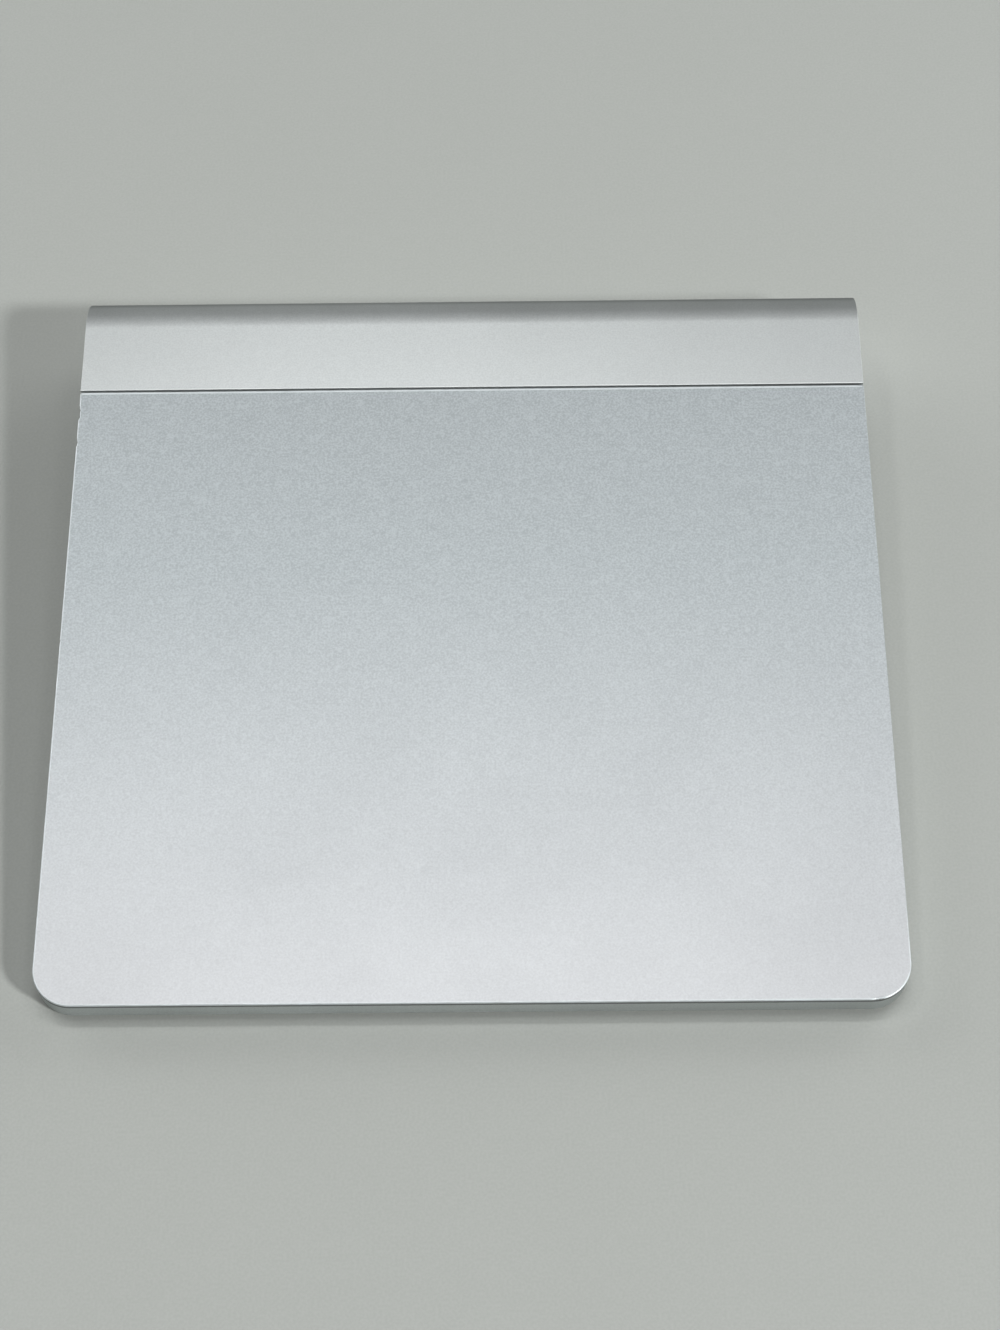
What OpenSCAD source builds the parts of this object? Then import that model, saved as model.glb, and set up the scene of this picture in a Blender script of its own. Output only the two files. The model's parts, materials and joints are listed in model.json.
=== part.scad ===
// Wireless trackpad: a glass touch surface on a sloping aluminium body, whose rear edge is a battery tube.
// The two front feet are the click button. They are carried by a bar that turns up against a dome switch.
// Millimetres. X runs to the right, Y to the rear, Z up. The origin is on the desk, under the middle.

/* [Overall] */
// Width of the body, left to right
pad_w = 131.3; // [126:0.1:160]
// Depth from the front edge to the back of the battery tube
pad_d = 130; // [118:0.5:160]
// Height of the front edge's underside above the desk
front_gap = 1; // [0.6:0.1:3]
// Radius of the two front corners
corner_r = 6; // [4.5:0.5:10]
// Width of the flat bar between the seam and the top of the tube
bar_flat = 12.7; // [11.6:0.1:18]

/* [Touch surface] */
// Thickness of the glass
glass_t = 0.9; // [0.6:0.05:1.2]
// Chamfer round the top edge of the glass
glass_chamfer = 0.18; // [0.1:0.02:0.3]
// How far the body stands in from the edge of the glass
glass_proud = 0.05; // [0.02:0.01:0.1]
// Width of the open seam between the glass and the rear bar
seam_gap = 0.25; // [0.15:0.05:0.5]
// Thickness of the bonding film under the glass
film_t = 0.1; // [0.06:0.02:0.2]
// How far the bonding film stops short of the edge of the glass
film_inset = 0.4; // [0.2:0.1:1]
// Thickness of the sensor board
sensor_t = 0.5; // [0.3:0.05:0.8]
// Gap round the sensor board in its pocket
sensor_gap = 0.1; // [0.05:0.05:0.2]
// Width of the deck that carries the edge of the glass
deck_rim = 2.4; // [2:0.1:4]

/* [Body] */
// Width of the wall round the bottom cover
rim_w = 1.2; // [0.8:0.1:1.8]
// Width of the ledge that carries the bottom cover
ledge_w = 1.2; // [0.8:0.1:2]
// Thickness of the web between the sensor board and the cavity
web_t = 0.5; // [0.4:0.05:0.8]
// Radius of the milled inside corners
mill_r = 2; // [1:0.5:3]
// Wall of the battery tube
tube_wall = 1.25; // [1.1:0.05:2]
// Radius of the hollow where the plate runs into the tube
neck_r = 1.2; // [0.8:0.1:1.6]
// Depth of the wider mouths at the tube's ends, beyond the bore's radius
mouth_lip = 0.45; // [0.3:0.05:0.55]
// Chamfer on the tube's two mouths
mouth_chamfer = 0.25; // [0.1:0.05:0.35]

/* [Bottom cover] */
// Thickness of the bottom cover
cover_t = 0.7; // [0.5:0.05:1]
// Width of the land between the cover and the hollow under the tube
cover_land = 2; // [1:0.1:4]
// Gap between the cover and the wall round it
cover_gap = 0.1; // [0.05:0.05:0.2]
// Room between the cover and the click mechanism
cover_clear = 0.1; // [0.06:0.02:0.3]
// Thickness of the bonding tape under the cover's edge
tape_t = 0.1; // [0.06:0.02:0.2]

/* [Batteries] */
// Diameter of one cell
cell_d = 14.3; // [13.6:0.1:15]
// Length of one cell, with its button
cell_l = 50.2; // [48:0.1:51]
// Diameter of a cell's button
cell_button_d = 5.4; // [4.4:0.1:6]
// Height of a cell's button
cell_button_h = 1.1; // [0.8:0.1:1.6]
// Chamfer of a cell's shoulder
cell_shoulder = 0.8; // [0.4:0.1:1.2]
// Clearance round a cell in its bore
cell_clear = 0.35; // [0.2:0.05:0.5]
// Gap left between two pieces that rest on each other
seat_gap = 0.03; // [0.02:0.01:0.04]

/* [Battery cap] */
// Thickness of the cap's head
cap_head_t = 1.2; // [0.8:0.1:2]
// Length of the cap behind its head
cap_plug_l = 8; // [7:0.5:9]
// Depth of the cup in the cap's inner end
cap_cup_l = 3; // [2:0.5:4]
// Wall round the cup in the cap's inner end
cap_cup_wall = 1.24; // [0.9:0.02:1.6]
// Clearance round the cap in the tube
cap_clear = 0.06; // [0.04:0.01:0.1]
// Chamfer round the faces of the cap and the button
face_edge = 0.3; // [0.1:0.05:0.5]
// Width of the coin slot
coin_slot_w = 2; // [1.6:0.1:2.4]
// Depth of the coin slot in its middle
coin_slot_h = 1.8; // [1:0.1:2.4]
// Radius of the coin that the slot is cut for
coin_r = 12; // [10:0.5:14]
// How far the cap and the button stand in from the ends of the tube
end_recess = 0.15; // [0.05:0.05:0.5]
// Wire diameter of the contact spring
spring_wire_d = 0.8; // [0.6:0.1:1]
// Diameter of the contact spring at the cap, on its wire's middle line
spring_wide_d = 9.6; // [8:0.2:10.4]
// Diameter of the contact spring at the cell, on its wire's middle line
spring_tip_d = 5.2; // [4:0.2:7]
// Length of the contact spring when the cap is closed
spring_l = 10; // [8:0.5:12]
// Turns of the contact spring
spring_turns = 4; // [3:1:5]
// Thickness of the spring's contact plate
spring_plate_t = 0.3; // [0.2:0.05:0.5]

/* [Power button] */
// Travel of the power button
button_travel = 0.6; // [0.3:0.1:0.7]
// Clearance round the power button
button_clear = 0.12; // [0.08:0.02:0.2]
// Depth of the dish in the button's face
button_dish = 0.25; // [0.1:0.05:0.4]
// Width of the flange that keeps the button in
button_flange_w = 0.7; // [0.4:0.1:1]
// Thickness of that flange
button_flange_t = 0.8; // [0.6:0.1:1.2]
// Diameter of the button's stem
button_stem_d = 2.6; // [2:0.2:4]
// Length of the button's stem
button_stem_l = 1.8; // [1.2:0.1:2.4]
// Wall of the sleeve that holds the button
bezel_wall = 0.85; // [0.6:0.05:1.2]
// Length of that sleeve
bezel_l = 5; // [4.4:0.1:5.6]
// Thickness of the sleeve's lip in front of the button's flange
bezel_lip_t = 1.5; // [1.2:0.1:1.8]
// Thickness of the power switch board
switch_board_t = 0.8; // [0.6:0.1:1]
// Side of the power switch's case
switch_w = 4; // [3:0.5:5]
// Height of the power switch's case
switch_h = 1.2; // [1.1:0.1:1.6]
// Diameter of the power switch's plunger
plunger_d = 1.8; // [1.2:0.2:2.4]
// Height of the power switch's plunger above its case
plunger_out = 0.9; // [0.8:0.1:1.2]
// Depth of the power switch's plunger in its case
plunger_in = 0.2; // [0.1:0.05:0.3]
// Clearance round the power switch's plunger
plunger_clear = 0.05; // [0.03:0.01:0.08]
// Thickness of the end wall that carries the positive contact
carrier_face_t = 3; // [1.2:0.1:4]
// Wall of the sleeve between that end wall and the power switch
carrier_wall = 0.6; // [0.5:0.1:1.5]
// Least length of that sleeve
sleeve_least = 0.4; // [0.2:0.1:2]
// Thickness of the positive contact
contact_t = 0.3; // [0.2:0.05:0.5]
// Diameter of the positive contact
contact_d = 7; // [6:0.5:9]

/* [Feet] */
// Diameter of a front foot
foot_d = 9; // [8:0.5:10]
// Distance from the body's side to the middle of a front foot
foot_side = 13; // [10:0.5:18]
// Distance from the front edge to the middle of a front foot
foot_front = 9.5; // [8.5:0.5:14]
// Clearance round a front foot in the cover
foot_clear = 0.3; // [0.2:0.05:0.5]
// Width of the flange that keeps a front foot in
foot_flange_w = 0.9; // [0.6:0.1:1.2]
// Thickness of that flange
foot_flange_t = 0.25; // [0.15:0.05:0.3]
// Diameter of the post that joins a foot's plunger to the click bar
foot_post_d = 1.6; // [1.2:0.1:2]
// Diameter of the shoulder at the foot of that post
foot_shoulder_d = 3.2; // [2.6:0.1:4]
// How far a foot's plunger comes out of the cover
foot_core_out = 0.2; // [0.1:0.05:0.4]
// Length of a rear foot along the tube
rear_foot_l = 16; // [10:1:24]
// Width of a rear foot
rear_foot_w = 4; // [3:0.2:5]
// Height of a rear foot below the tube
rear_foot_h = 0.5; // [0.3:0.1:1]
// Depth of a rear foot's seat in the tube
rear_foot_seat = 0.45; // [0.4:0.05:0.6]
// Distance from the body's side to the middle of a rear foot
rear_foot_side = 18; // [14:1:26]

/* [Click mechanism] */
// Distance from a foot's middle to the click bar's axis
lever_l = 11; // [9.5:0.5:16]
// Diameter of the click bar's rod
rod_d = 1; // [0.8:0.05:1.3]
// Running clearance of the rod in its bearings
rod_clear = 0.03; // [0.02:0.01:0.05]
// Thickness of the bar's arms
arm_t = 0.4; // [0.3:0.05:0.6]
// Width of the bar's arms
arm_w = 4; // [3:0.5:6]
// How far the bar's finger reaches past the middle of the dome
finger_past = 1; // [0.8:0.1:1.4]
// Distance from the rod's axis to the middle of the dome
dome_lever = 4.5; // [4:0.1:5.5]
// Diameter of the dome
dome_d = 5; // [4:0.5:6]
// Height of the dome
dome_h = 0.24; // [0.2:0.02:0.4]
// Gap between the dome and the bar's finger
dome_gap = 0.06; // [0.04:0.01:0.1]
// Thickness of the click switch's board
click_board_t = 0.25; // [0.2:0.05:0.4]
// Space round the dome on its board
click_board_edge = 1; // [0.5:0.1:2]
// Width of the click switch's tail
click_tail_w = 3; // [2:0.5:4]
// Distance from a foot's middle, along the rod, to the middle of its bearing
bearing_in = 14.65; // [8:0.05:24]
// Length of a bearing along the rod
bearing_l = 5; // [4:0.5:8]
// Wall of a bearing under the rod
bearing_wall = 0.22; // [0.18:0.02:0.4]
// Width of a bearing across the rod
bearing_w = 3; // [2.4:0.2:4]
// Side of the ear that takes a bearing's screw
ear_l = 4; // [3.4:0.2:5]
// Thickness of that ear
ear_t = 0.6; // [0.4:0.05:0.8]

/* [Electronics] */
// Diameter of a screw's shank
screw_d = 1.36; // [1:0.02:1.6]
// Diameter of a screw's head
screw_head_d = 2.6; // [2.4:0.1:3]
// Height of a screw's head
screw_head_h = 0.45; // [0.3:0.05:0.5]
// Width of a screw's cross recess
screw_cross_w = 0.4; // [0.3:0.05:0.5]
// Clearance round a screw's shank
screw_clear = 0.04; // [0.02:0.02:0.1]
// Distance from the edges of the logic board to its screws
screw_inset = 2.6; // [2:0.2:4]
// Width of the logic board
board_w = 52; // [48:1:60]
// Depth of the logic board
board_d = 20; // [18:1:24]
// Thickness of the logic board
board_t = 0.6; // [0.4:0.05:0.7]
// Distance from the body's middle to the middle of the logic board
board_x = 16; // [10:1:20]
// Room behind the logic board
board_back = 4.4; // [3:0.2:8]
// Height of the chips and the shield on the logic board
chip_h = 0.85; // [0.6:0.05:0.9]
// Wall of the radio's shield
shield_t = 0.2; // [0.15:0.05:0.3]
// Depth of a ribbon connector
connector_d = 2.4; // [2:0.1:3]
// Height of a ribbon connector
connector_h = 0.7; // [0.6:0.05:0.9]
// Wall of a ribbon connector
connector_wall = 0.5; // [0.3:0.05:0.6]
// How far a ribbon goes into its connector
plug_in = 1; // [0.6:0.1:1.4]
// Side of a touch controller chip
touch_chip_w = 7; // [5:0.5:9]
// Distance from the body's middle to a touch controller chip
touch_chip_x = 18; // [10:1:30]
// Distance from the front edge to the touch controller chips
touch_chip_up = 58; // [40:1:60]
// Space round a chip or a ribbon in the web
window_gap = 1.5; // [1:0.5:2]
// Thickness of a flexible ribbon
ribbon_t = 0.14; // [0.1:0.02:0.2]
// Width of the ribbon from the sensor board
sensor_ribbon_w = 10; // [6:1:14]
// Distance from the logic board to where the sensor board's ribbon drops
sensor_ribbon_out = 4; // [3:0.5:6]
// Width of the ribbon from the power switch
power_ribbon_w = 0.9; // [0.6:0.1:1]
// Space round the power ribbon in its passage
passage_gap = 0.3; // [0.2:0.05:0.4]
// Diameter of the light hole over the status light
light_hole_d = 0.8; // [0.5:0.1:1.2]
// Skin left over the light hole
light_skin = 0.25; // [0.2:0.05:0.4]
// Distance from the body's side to the status light
light_side = 9; // [7.5:0.5:14]
// Side of the status light
light_l = 1.6; // [1.2:0.1:2]
// Thickness of the status light
light_t = 0.5; // [0.3:0.05:0.6]

/* [Hidden] */
$fn = 96;
// Overlap of shapes that are joined or cut
lap = 1;
// Steps of a shallow curve
curve_steps = 12;
half_w = pad_w / 2;

// Names that end in _level are heights square to the touch surface, which is level 0
deck_level = -glass_t - film_t;
web_top_level = deck_level - sensor_t;
web_level = web_top_level - web_t;
arm_top_level = web_level - click_board_t - dome_h - dome_gap;
rod_level = arm_top_level - arm_t / 2;
arm_level = rod_level - arm_t / 2;
bearing_level = rod_level - rod_d / 2 - rod_clear - bearing_wall;
cover_top_level = bearing_level - cover_clear;
ledge_level = cover_top_level + tape_t;
cover_level = cover_top_level - cover_t;
pad_t = -cover_level;

// The battery tube and the slope of the plate that touches it
bore_r = cell_d / 2 + cell_clear;
tube_r = bore_r + tube_wall;
tube_y = pad_d / 2 - tube_r;
tube_z = rear_foot_h + tube_r;
front_y = -pad_d / 2;
front_z = front_gap + pad_t;
run = tube_y - front_y;
rise = tube_z - front_z;
slope = atan2(rise, run) + asin(tube_r / norm([run, rise]));

// Names that end in _up are distances up the slope from the front edge
tube_up = (run - tube_r * sin(slope)) / cos(slope);
bar_up = tube_up - bar_flat;
glass_d = bar_up - seam_gap;
neck_up = tube_up - sqrt(pow(tube_r + neck_r, 2) - pow(tube_r - pad_t - neck_r, 2));
cover_back_up = neck_up - cover_land;
cavity_in = rim_w + ledge_w;
cavity_back_up = cover_back_up - ledge_w;

// Names that end in _at are places along the tube from its middle
mouth_r = bore_r + mouth_lip + cap_clear;
head_r = bore_r + mouth_lip;
cap_face_at = end_recess - half_w;
cap_stop_at = cap_face_at + cap_head_t;
cap_end_at = cap_stop_at + cap_plug_l;
cap_plug_r = bore_r - cap_clear;
cap_cup_r = cap_plug_r - cap_cup_wall;
spring_plate_at = cap_end_at - cap_cup_l;
spring_at = spring_plate_at + seat_gap + spring_plate_t + seat_gap;
cells_at = spring_at + spring_l + seat_gap;
button_face_at = half_w - end_recess;
bezel_end_at = button_face_at - bezel_l;
bezel_r = bore_r - seat_gap;
flange_r = bezel_r - bezel_wall - button_clear;
button_r = flange_r - button_flange_w;
flange_at = button_face_at - bezel_lip_t - seat_gap;
flange_back_at = flange_at - button_flange_t;
stem_end_at = flange_back_at - button_stem_l;
switch_face_at = stem_end_at - seat_gap - plunger_out;
switch_board_at = switch_face_at - switch_h - switch_board_t;

// As many cells as the tube holds, and a sleeve in the room that they leave
cell_pitch = cell_l + seat_gap;
cell_room = switch_board_at - sleeve_least - carrier_face_t - contact_t - cells_at;
cell_count = floor(cell_room / cell_pitch);
contact_at = cells_at + cell_count * cell_pitch;
carrier_at = contact_at + contact_t;

// Feet and click mechanism
foot_x = half_w - foot_side;
foot_hole_r = foot_d / 2 + foot_clear;
foot_flange_level = cover_top_level + seat_gap;
foot_flange_top_level = foot_flange_level + foot_flange_t;
foot_core_level = cover_level - foot_core_out;
rod_up = foot_front + lever_l;
dome_up = rod_up - dome_lever;
bearing_x = foot_x - bearing_in;
ear_up = rod_up + bearing_w / 2 + ear_l / 2;
bearing_screws_at = [[-bearing_x, ear_up], [bearing_x, ear_up]];

// Electronics
board_level = web_level - board_t;
board_back_up = cavity_back_up - board_back;
board_up = board_back_up - board_d / 2;
board_front_up = board_back_up - board_d;
board_left_x = board_x - board_w / 2;
board_right_x = board_x + board_w / 2;
board_screws_at = [
    [board_left_x + screw_inset, board_front_up + screw_inset],
    [board_left_x + screw_inset, board_back_up - screw_inset],
    [board_right_x - screw_inset, board_front_up + screw_inset]
];
// Chips: place from the board's middle, then width and depth
chips = [[-4, 2.5, 8, 8], [-14, -4, 5, 5], [-14, 3.5, 3.2, 2.5]];
// Small parts in a row: place of the first, step, count, width and depth
chip_row = [-8.4, -5, 2.2, 5, 1, 0.6];
shield = [9, 2.5, 12, 11];
plug_level = board_level - connector_h / 2;
sensor_ribbon_up = board_front_up - sensor_ribbon_out;
power_plug_up = board_back_up - connector_d;
power_ribbon_at = switch_board_at + switch_board_t + seat_gap;
power_ribbon_mid_level = (web_level + ledge_level) / 2;
power_ribbon_level = power_ribbon_mid_level - power_ribbon_w / 2;
light_x = half_w - light_side;
light_up = bar_up + light_hole_d;
light_back_up = light_up + light_l / 2;

// Placement and outlines

// Plate frame: X across, Y up the slope from the front edge, Z square to the touch surface
module on_plate() {
    translate([0, front_y, front_z]) rotate([slope, 0, 0]) children();
}

// Tube frame: Z along the battery tube towards the right
module in_tube() {
    on_plate() translate([0, tube_up, -tube_r]) rotate([0, 90, 0]) children();
}

// A side profile, drawn in the plate's Y and Z, pulled out across the given width
module across(width) {
    translate([-width / 2, 0, 0]) rotate([90, 0, 90]) linear_extrude(width) children();
}

// A front profile, drawn in the plate's X and Z, pulled out up the slope
module up_slope(depth) {
    translate([0, depth, 0]) rotate([90, 0, 0]) linear_extrude(depth) children();
}

// A flat outline stood between two levels of the plate
module between(low, high) {
    translate([0, 0, low]) linear_extrude(high - low) children();
}

// Solid of revolution about the tube, from points of place along the tube and radius
module turned(points) {
    in_tube() rotate_extrude() polygon([for (p = points) [p[1], p[0]]]);
}

// Height of a shallow round cap at a distance from its middle
function cap_height(r, base_r, top) = let (ball_r = (base_r * base_r + top * top) / (2 * top))
    sqrt(ball_r * ball_r - r * r) - ball_r + top;

// Shallow round cap on a short foot of the same radius
module round_cap(base_r, top, foot) {
    rim = [for (i = [curve_steps:-1:0]) let (r = base_r * i / curve_steps) [r, cap_height(r, base_r, top)]];
    rotate_extrude() polygon(concat([[0, -foot], [base_r, -foot]], rim));
}

// Body outline, with round front corners and square rear ones
module body_plan(inset, back) {
    half = half_w - inset;
    r = corner_r - inset;
    translate([-half, inset + r]) square([2 * half, back - inset - r]);
    translate([r - half, inset]) square([2 * (half - r), r + lap]);
    for (side = [-1, 1]) translate([side * (half - r), inset + r]) circle(r);
}

// Milled outline that follows the body's front corners at an inset
module pocket_plan(inset, back) {
    half = half_w - inset;
    front_r = max(corner_r - inset, mill_r);
    translate([-half, inset + front_r]) square([2 * half, back - inset - front_r - mill_r]);
    translate([front_r - half, inset]) square([2 * (half - front_r), front_r + lap]);
    translate([mill_r - half, back - mill_r - lap]) square([2 * (half - mill_r), mill_r + lap]);
    for (side = [-1, 1]) {
        translate([side * (half - front_r), inset + front_r]) circle(front_r);
        translate([side * (half - mill_r), back - mill_r]) circle(mill_r);
    }
}

// Pill-shaped outline, long in X
module pill(length, width) {
    square([length - width, width], center = true);
    for (side = [-1, 1]) translate([side * (length - width) / 2, 0]) circle(width / 2);
}

// Body

// Side profile of the rear bar: the tube, the flat that meets the glass, and the hollow under it
module bar_profile() {
    translate([tube_up, -tube_r]) circle(tube_r);
    translate([bar_up, -pad_t]) square([bar_flat, pad_t]);
    difference() {
        polygon([
            [neck_up, lap - pad_t], [tube_up, lap - pad_t],
            [tube_up, -tube_r], [neck_up, -pad_t - neck_r]
        ]);
        translate([neck_up, -pad_t - neck_r]) circle(neck_r);
    }
}

module enclosure_stock() {
    on_plate() {
        between(-pad_t, deck_level) body_plan(glass_proud, bar_up + lap);
        across(pad_w) bar_profile();
    }
}

// Everything milled out of the flat plate
module plate_pockets() {
    between(web_top_level, lap) pocket_plan(deck_rim, glass_d - deck_rim);
    between(ledge_level - lap, web_level) pocket_plan(cavity_in, cavity_back_up);
    between(-pad_t - lap, ledge_level) pocket_plan(rim_w, cover_back_up);
    between(web_level - lap, web_top_level + lap) web_openings();
}

// Windows for the touch chips, a slot for the sensor board's ribbon, and screw holes
module web_openings() {
    window = touch_chip_w + 2 * window_gap;
    slot = [sensor_ribbon_w + 2 * window_gap, 2 * window_gap];
    for (side = [-1, 1]) translate([side * touch_chip_x, touch_chip_up]) square(window, center = true);
    translate([board_x, sensor_ribbon_up]) square(slot, center = true);
    for (at = concat(board_screws_at, bearing_screws_at)) translate(at) circle(screw_d / 2 + screw_clear);
}

// Passage for the power ribbon, from the cavity into the tube, and the pocket beside it for the status light
module rear_passages() {
    w = ribbon_t + 2 * passage_gap;
    h = power_ribbon_w + 2 * passage_gap;
    from_x = light_x - light_l / 2 - passage_gap;
    to_x = power_ribbon_at + ribbon_t + passage_gap;
    translate([to_x - w, cavity_back_up - lap, power_ribbon_mid_level - h / 2])
        cube([w, tube_up - cover_back_up, h]);
    between(ledge_level, web_level) translate([from_x, cavity_back_up - lap])
        square([to_x - from_x, light_back_up + passage_gap - cavity_back_up + lap]);
    between(web_level - lap, -light_skin) translate([light_x, light_up]) circle(d = light_hole_d);
}

// Bore of the battery tube, with a wider mouth at each end
module tube_bore() {
    depth = end_recess + cap_head_t;
    translate([0, 0, -half_w - lap]) cylinder(r = bore_r, h = pad_w + 2 * lap);
    for (flip = [0, 1]) mirror([0, 0, flip]) translate([0, 0, half_w]) rotate_extrude() polygon([
        [0, -depth], [mouth_r, -depth], [mouth_r, -mouth_chamfer], [mouth_r + mouth_chamfer, 0],
        [mouth_r + mouth_chamfer, lap], [0, lap]
    ]);
}

// Outline of a rear foot at the given gap to its seat, stood on the desk
module rear_foot_block(side, gap, low) {
    translate([side * (half_w - rear_foot_side), tube_y, low])
        linear_extrude(rear_foot_h + rear_foot_seat - low) pill(rear_foot_l - 2 * gap, rear_foot_w - 2 * gap);
}

module enclosure() {
    color("#c9cccd") difference() {
        enclosure_stock();
        on_plate() plate_pockets();
        on_plate() rear_passages();
        in_tube() tube_bore();
        for (side = [-1, 1]) rear_foot_block(side, 0, -lap);
    }
}

// Touch surface

// Section of the glass between two edges, with both top edges chamfered
module glass_section(from, to) {
    polygon([
        [from, -glass_t], [to, -glass_t], [to, -glass_chamfer], [to - glass_chamfer, 0],
        [from + glass_chamfer, 0], [from, -glass_chamfer]
    ]);
}

module touch_glass() {
    color("#d3d6d9") on_plate() {
        difference() {
            intersection() {
                across(pad_w) glass_section(0, glass_d);
                up_slope(glass_d) glass_section(-half_w, half_w);
            }
            for (side = [-1, 1]) translate([side * half_w, 0, 0]) cube(2 * corner_r, center = true);
        }
        for (side = [-1, 1]) glass_corner(side);
    }
}

// Round front corner of the glass
module glass_corner(side) {
    start = side > 0 ? -90 : 180;
    translate([side * (half_w - corner_r), corner_r, 0]) rotate(start) rotate_extrude(angle = 90) {
        intersection() {
            glass_section(-corner_r, corner_r);
            translate([0, -glass_t]) square([corner_r, glass_t]);
        }
    }
}

module glass_film() {
    color("#8f9496") on_plate() between(deck_level, -glass_t) body_plan(film_inset, glass_d - film_inset);
}

module sensor_board() {
    inset = deck_rim + sensor_gap;
    color("#2f5d46") on_plate() between(web_top_level, deck_level) pocket_plan(inset, glass_d - inset);
}

module touch_chips() {
    color("#23262a") on_plate() between(web_top_level - chip_h, web_top_level) for (side = [-1, 1]) {
        translate([side * touch_chip_x, touch_chip_up]) square(touch_chip_w, center = true);
    }
}

// Ribbon that drops from the sensor board and turns back to the logic board's connector
module sensor_ribbon() {
    color("#b5862f") on_plate() translate([board_x, sensor_ribbon_up, plug_level]) across(sensor_ribbon_w) {
        square([ribbon_t, web_top_level - plug_level]);
        square([sensor_ribbon_out + plug_in, ribbon_t]);
    }
}

// Logic board

module logic_board() {
    color("#1f4e3d") on_plate() between(board_level, web_level) difference() {
        translate([board_left_x, board_front_up]) square([board_w, board_d]);
        for (at = board_screws_at) translate(at) circle(screw_d / 2 + screw_clear);
    }
}

// Outline on the logic board: place from the board's middle, then width and depth, less a wall
module on_board(part, wall) {
    size = [part[2] - 2 * wall, part[3] - 2 * wall];
    translate([board_x + part[0], board_up + part[1]]) square(size, center = true);
}

module logic_chips() {
    color("#202328") on_plate() {
        between(board_level - chip_h, board_level) for (chip = chips) on_board(chip, 0);
        between(board_level - chip_h / 2, board_level) for (i = [0:chip_row[3] - 1]) {
            on_board([chip_row[0] + chip_row[2] * i, chip_row[1], chip_row[4], chip_row[5]], 0);
        }
    }
}

// Pressed can over the radio, with its open side on the board
module radio_shield() {
    color("#b9bdbf") on_plate() difference() {
        between(board_level - chip_h, board_level) on_board(shield, 0);
        between(board_level - chip_h + shield_t, board_level + lap) on_board(shield, shield_t);
    }
}

// Connectors for the two ribbons
module board_connectors() {
    wall = connector_wall;
    color("#e4ddc8") on_plate() difference() {
        between(board_level - connector_h, board_level) {
            translate([board_x - sensor_ribbon_w / 2 - wall, board_front_up])
                square([sensor_ribbon_w + 2 * wall, connector_d]);
            translate([board_right_x - connector_d, power_plug_up - power_ribbon_w / 2 - wall])
                square([connector_d, power_ribbon_w + 2 * wall]);
        }
        between(plug_level - seat_gap, plug_level + ribbon_t + seat_gap) {
            translate([board_x - sensor_ribbon_w / 2 - seat_gap, board_front_up - lap])
                square([sensor_ribbon_w + 2 * seat_gap, plug_in + seat_gap + lap]);
            translate([board_right_x - plug_in - seat_gap, power_plug_up - power_ribbon_w / 2 - seat_gap])
                square([plug_in + seat_gap + lap, power_ribbon_w + 2 * seat_gap]);
        }
    }
}

// Screw that holds a sheet of the given thickness up against the web
module web_screw(sheet) {
    translate([0, 0, web_level - sheet]) {
        cylinder(d = screw_d, h = sheet + web_t - seat_gap);
        difference() {
            translate([0, 0, -screw_head_h]) cylinder(d = screw_head_d, h = screw_head_h);
            for (turn = [0, 90]) rotate(turn) translate([0, 0, -screw_head_h])
                cube([screw_head_d / 2, screw_cross_w, screw_head_h], center = true);
        }
    }
}

module board_screws() {
    color("#8d9194") on_plate() for (at = board_screws_at) translate(at) web_screw(board_t);
}

// Bottom

module bottom_cover() {
    color("#dfe1e0") on_plate() between(cover_level, cover_top_level) difference() {
        pocket_plan(rim_w + cover_gap, cover_back_up - cover_gap);
        for (side = [-1, 1]) translate([side * foot_x, foot_front]) circle(foot_hole_r);
    }
}

// Ring of tape that holds the bottom cover to its ledge
module cover_tape() {
    color("#3b3e40") on_plate() between(cover_top_level, ledge_level) difference() {
        pocket_plan(rim_w + cover_gap, cover_back_up - cover_gap);
        pocket_plan(cavity_in, cavity_back_up);
    }
}

module rear_foot(side) {
    color("#8b8f90") rear_foot_block(side, seat_gap, 0);
}

// Rubber front foot, square to the plate above and level with the desk below
module front_foot(side) {
    reach = front_z;
    color("#8b8f90") difference() {
        on_plate() between(foot_core_level - reach, foot_core_level) translate([side * foot_x, foot_front])
            circle(d = foot_d);
        translate([0, 0, -pad_w]) cube(2 * pad_w, center = true);
    }
}

// Plunger in the cover's hole: flange inside, foot bonded underneath, post through the click bar's arm
module foot_plunger(side) {
    color("#d9d9d4") on_plate() translate([side * foot_x, foot_front, 0]) {
        between(foot_core_level, foot_flange_top_level) circle(d = foot_d);
        between(foot_flange_level, foot_flange_top_level) circle(r = foot_hole_r + foot_flange_w);
        between(foot_flange_level, arm_level - seat_gap) circle(d = foot_shoulder_d);
        between(foot_flange_level, arm_top_level) circle(d = foot_post_d);
    }
}

// Click mechanism

// Steel rod with an arm over each foot, drilled for the foot's post, and a finger under the dome
module click_bar() {
    rod_l = 2 * foot_x + arm_w;
    color("#9aa0a4") on_plate() difference() {
        union() {
            translate([-rod_l / 2, rod_up, rod_level]) rotate([0, 90, 0]) cylinder(d = rod_d, h = rod_l);
            for (side = [-1, 1]) bar_arm(side * foot_x, lever_l + arm_w / 2);
            bar_arm(0, dome_lever + finger_past);
        }
        between(arm_level - lap, arm_top_level + lap) for (side = [-1, 1]) {
            translate([side * foot_x, foot_front]) circle(foot_post_d / 2 + seat_gap);
        }
    }
}

// Flat arm from the rod towards the front, with a round end
module bar_arm(x, reach) {
    between(arm_level, arm_top_level) translate([x, rod_up - reach + arm_w / 2]) {
        translate([-arm_w / 2, 0]) square([arm_w, reach - arm_w / 2]);
        circle(d = arm_w);
    }
}

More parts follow.
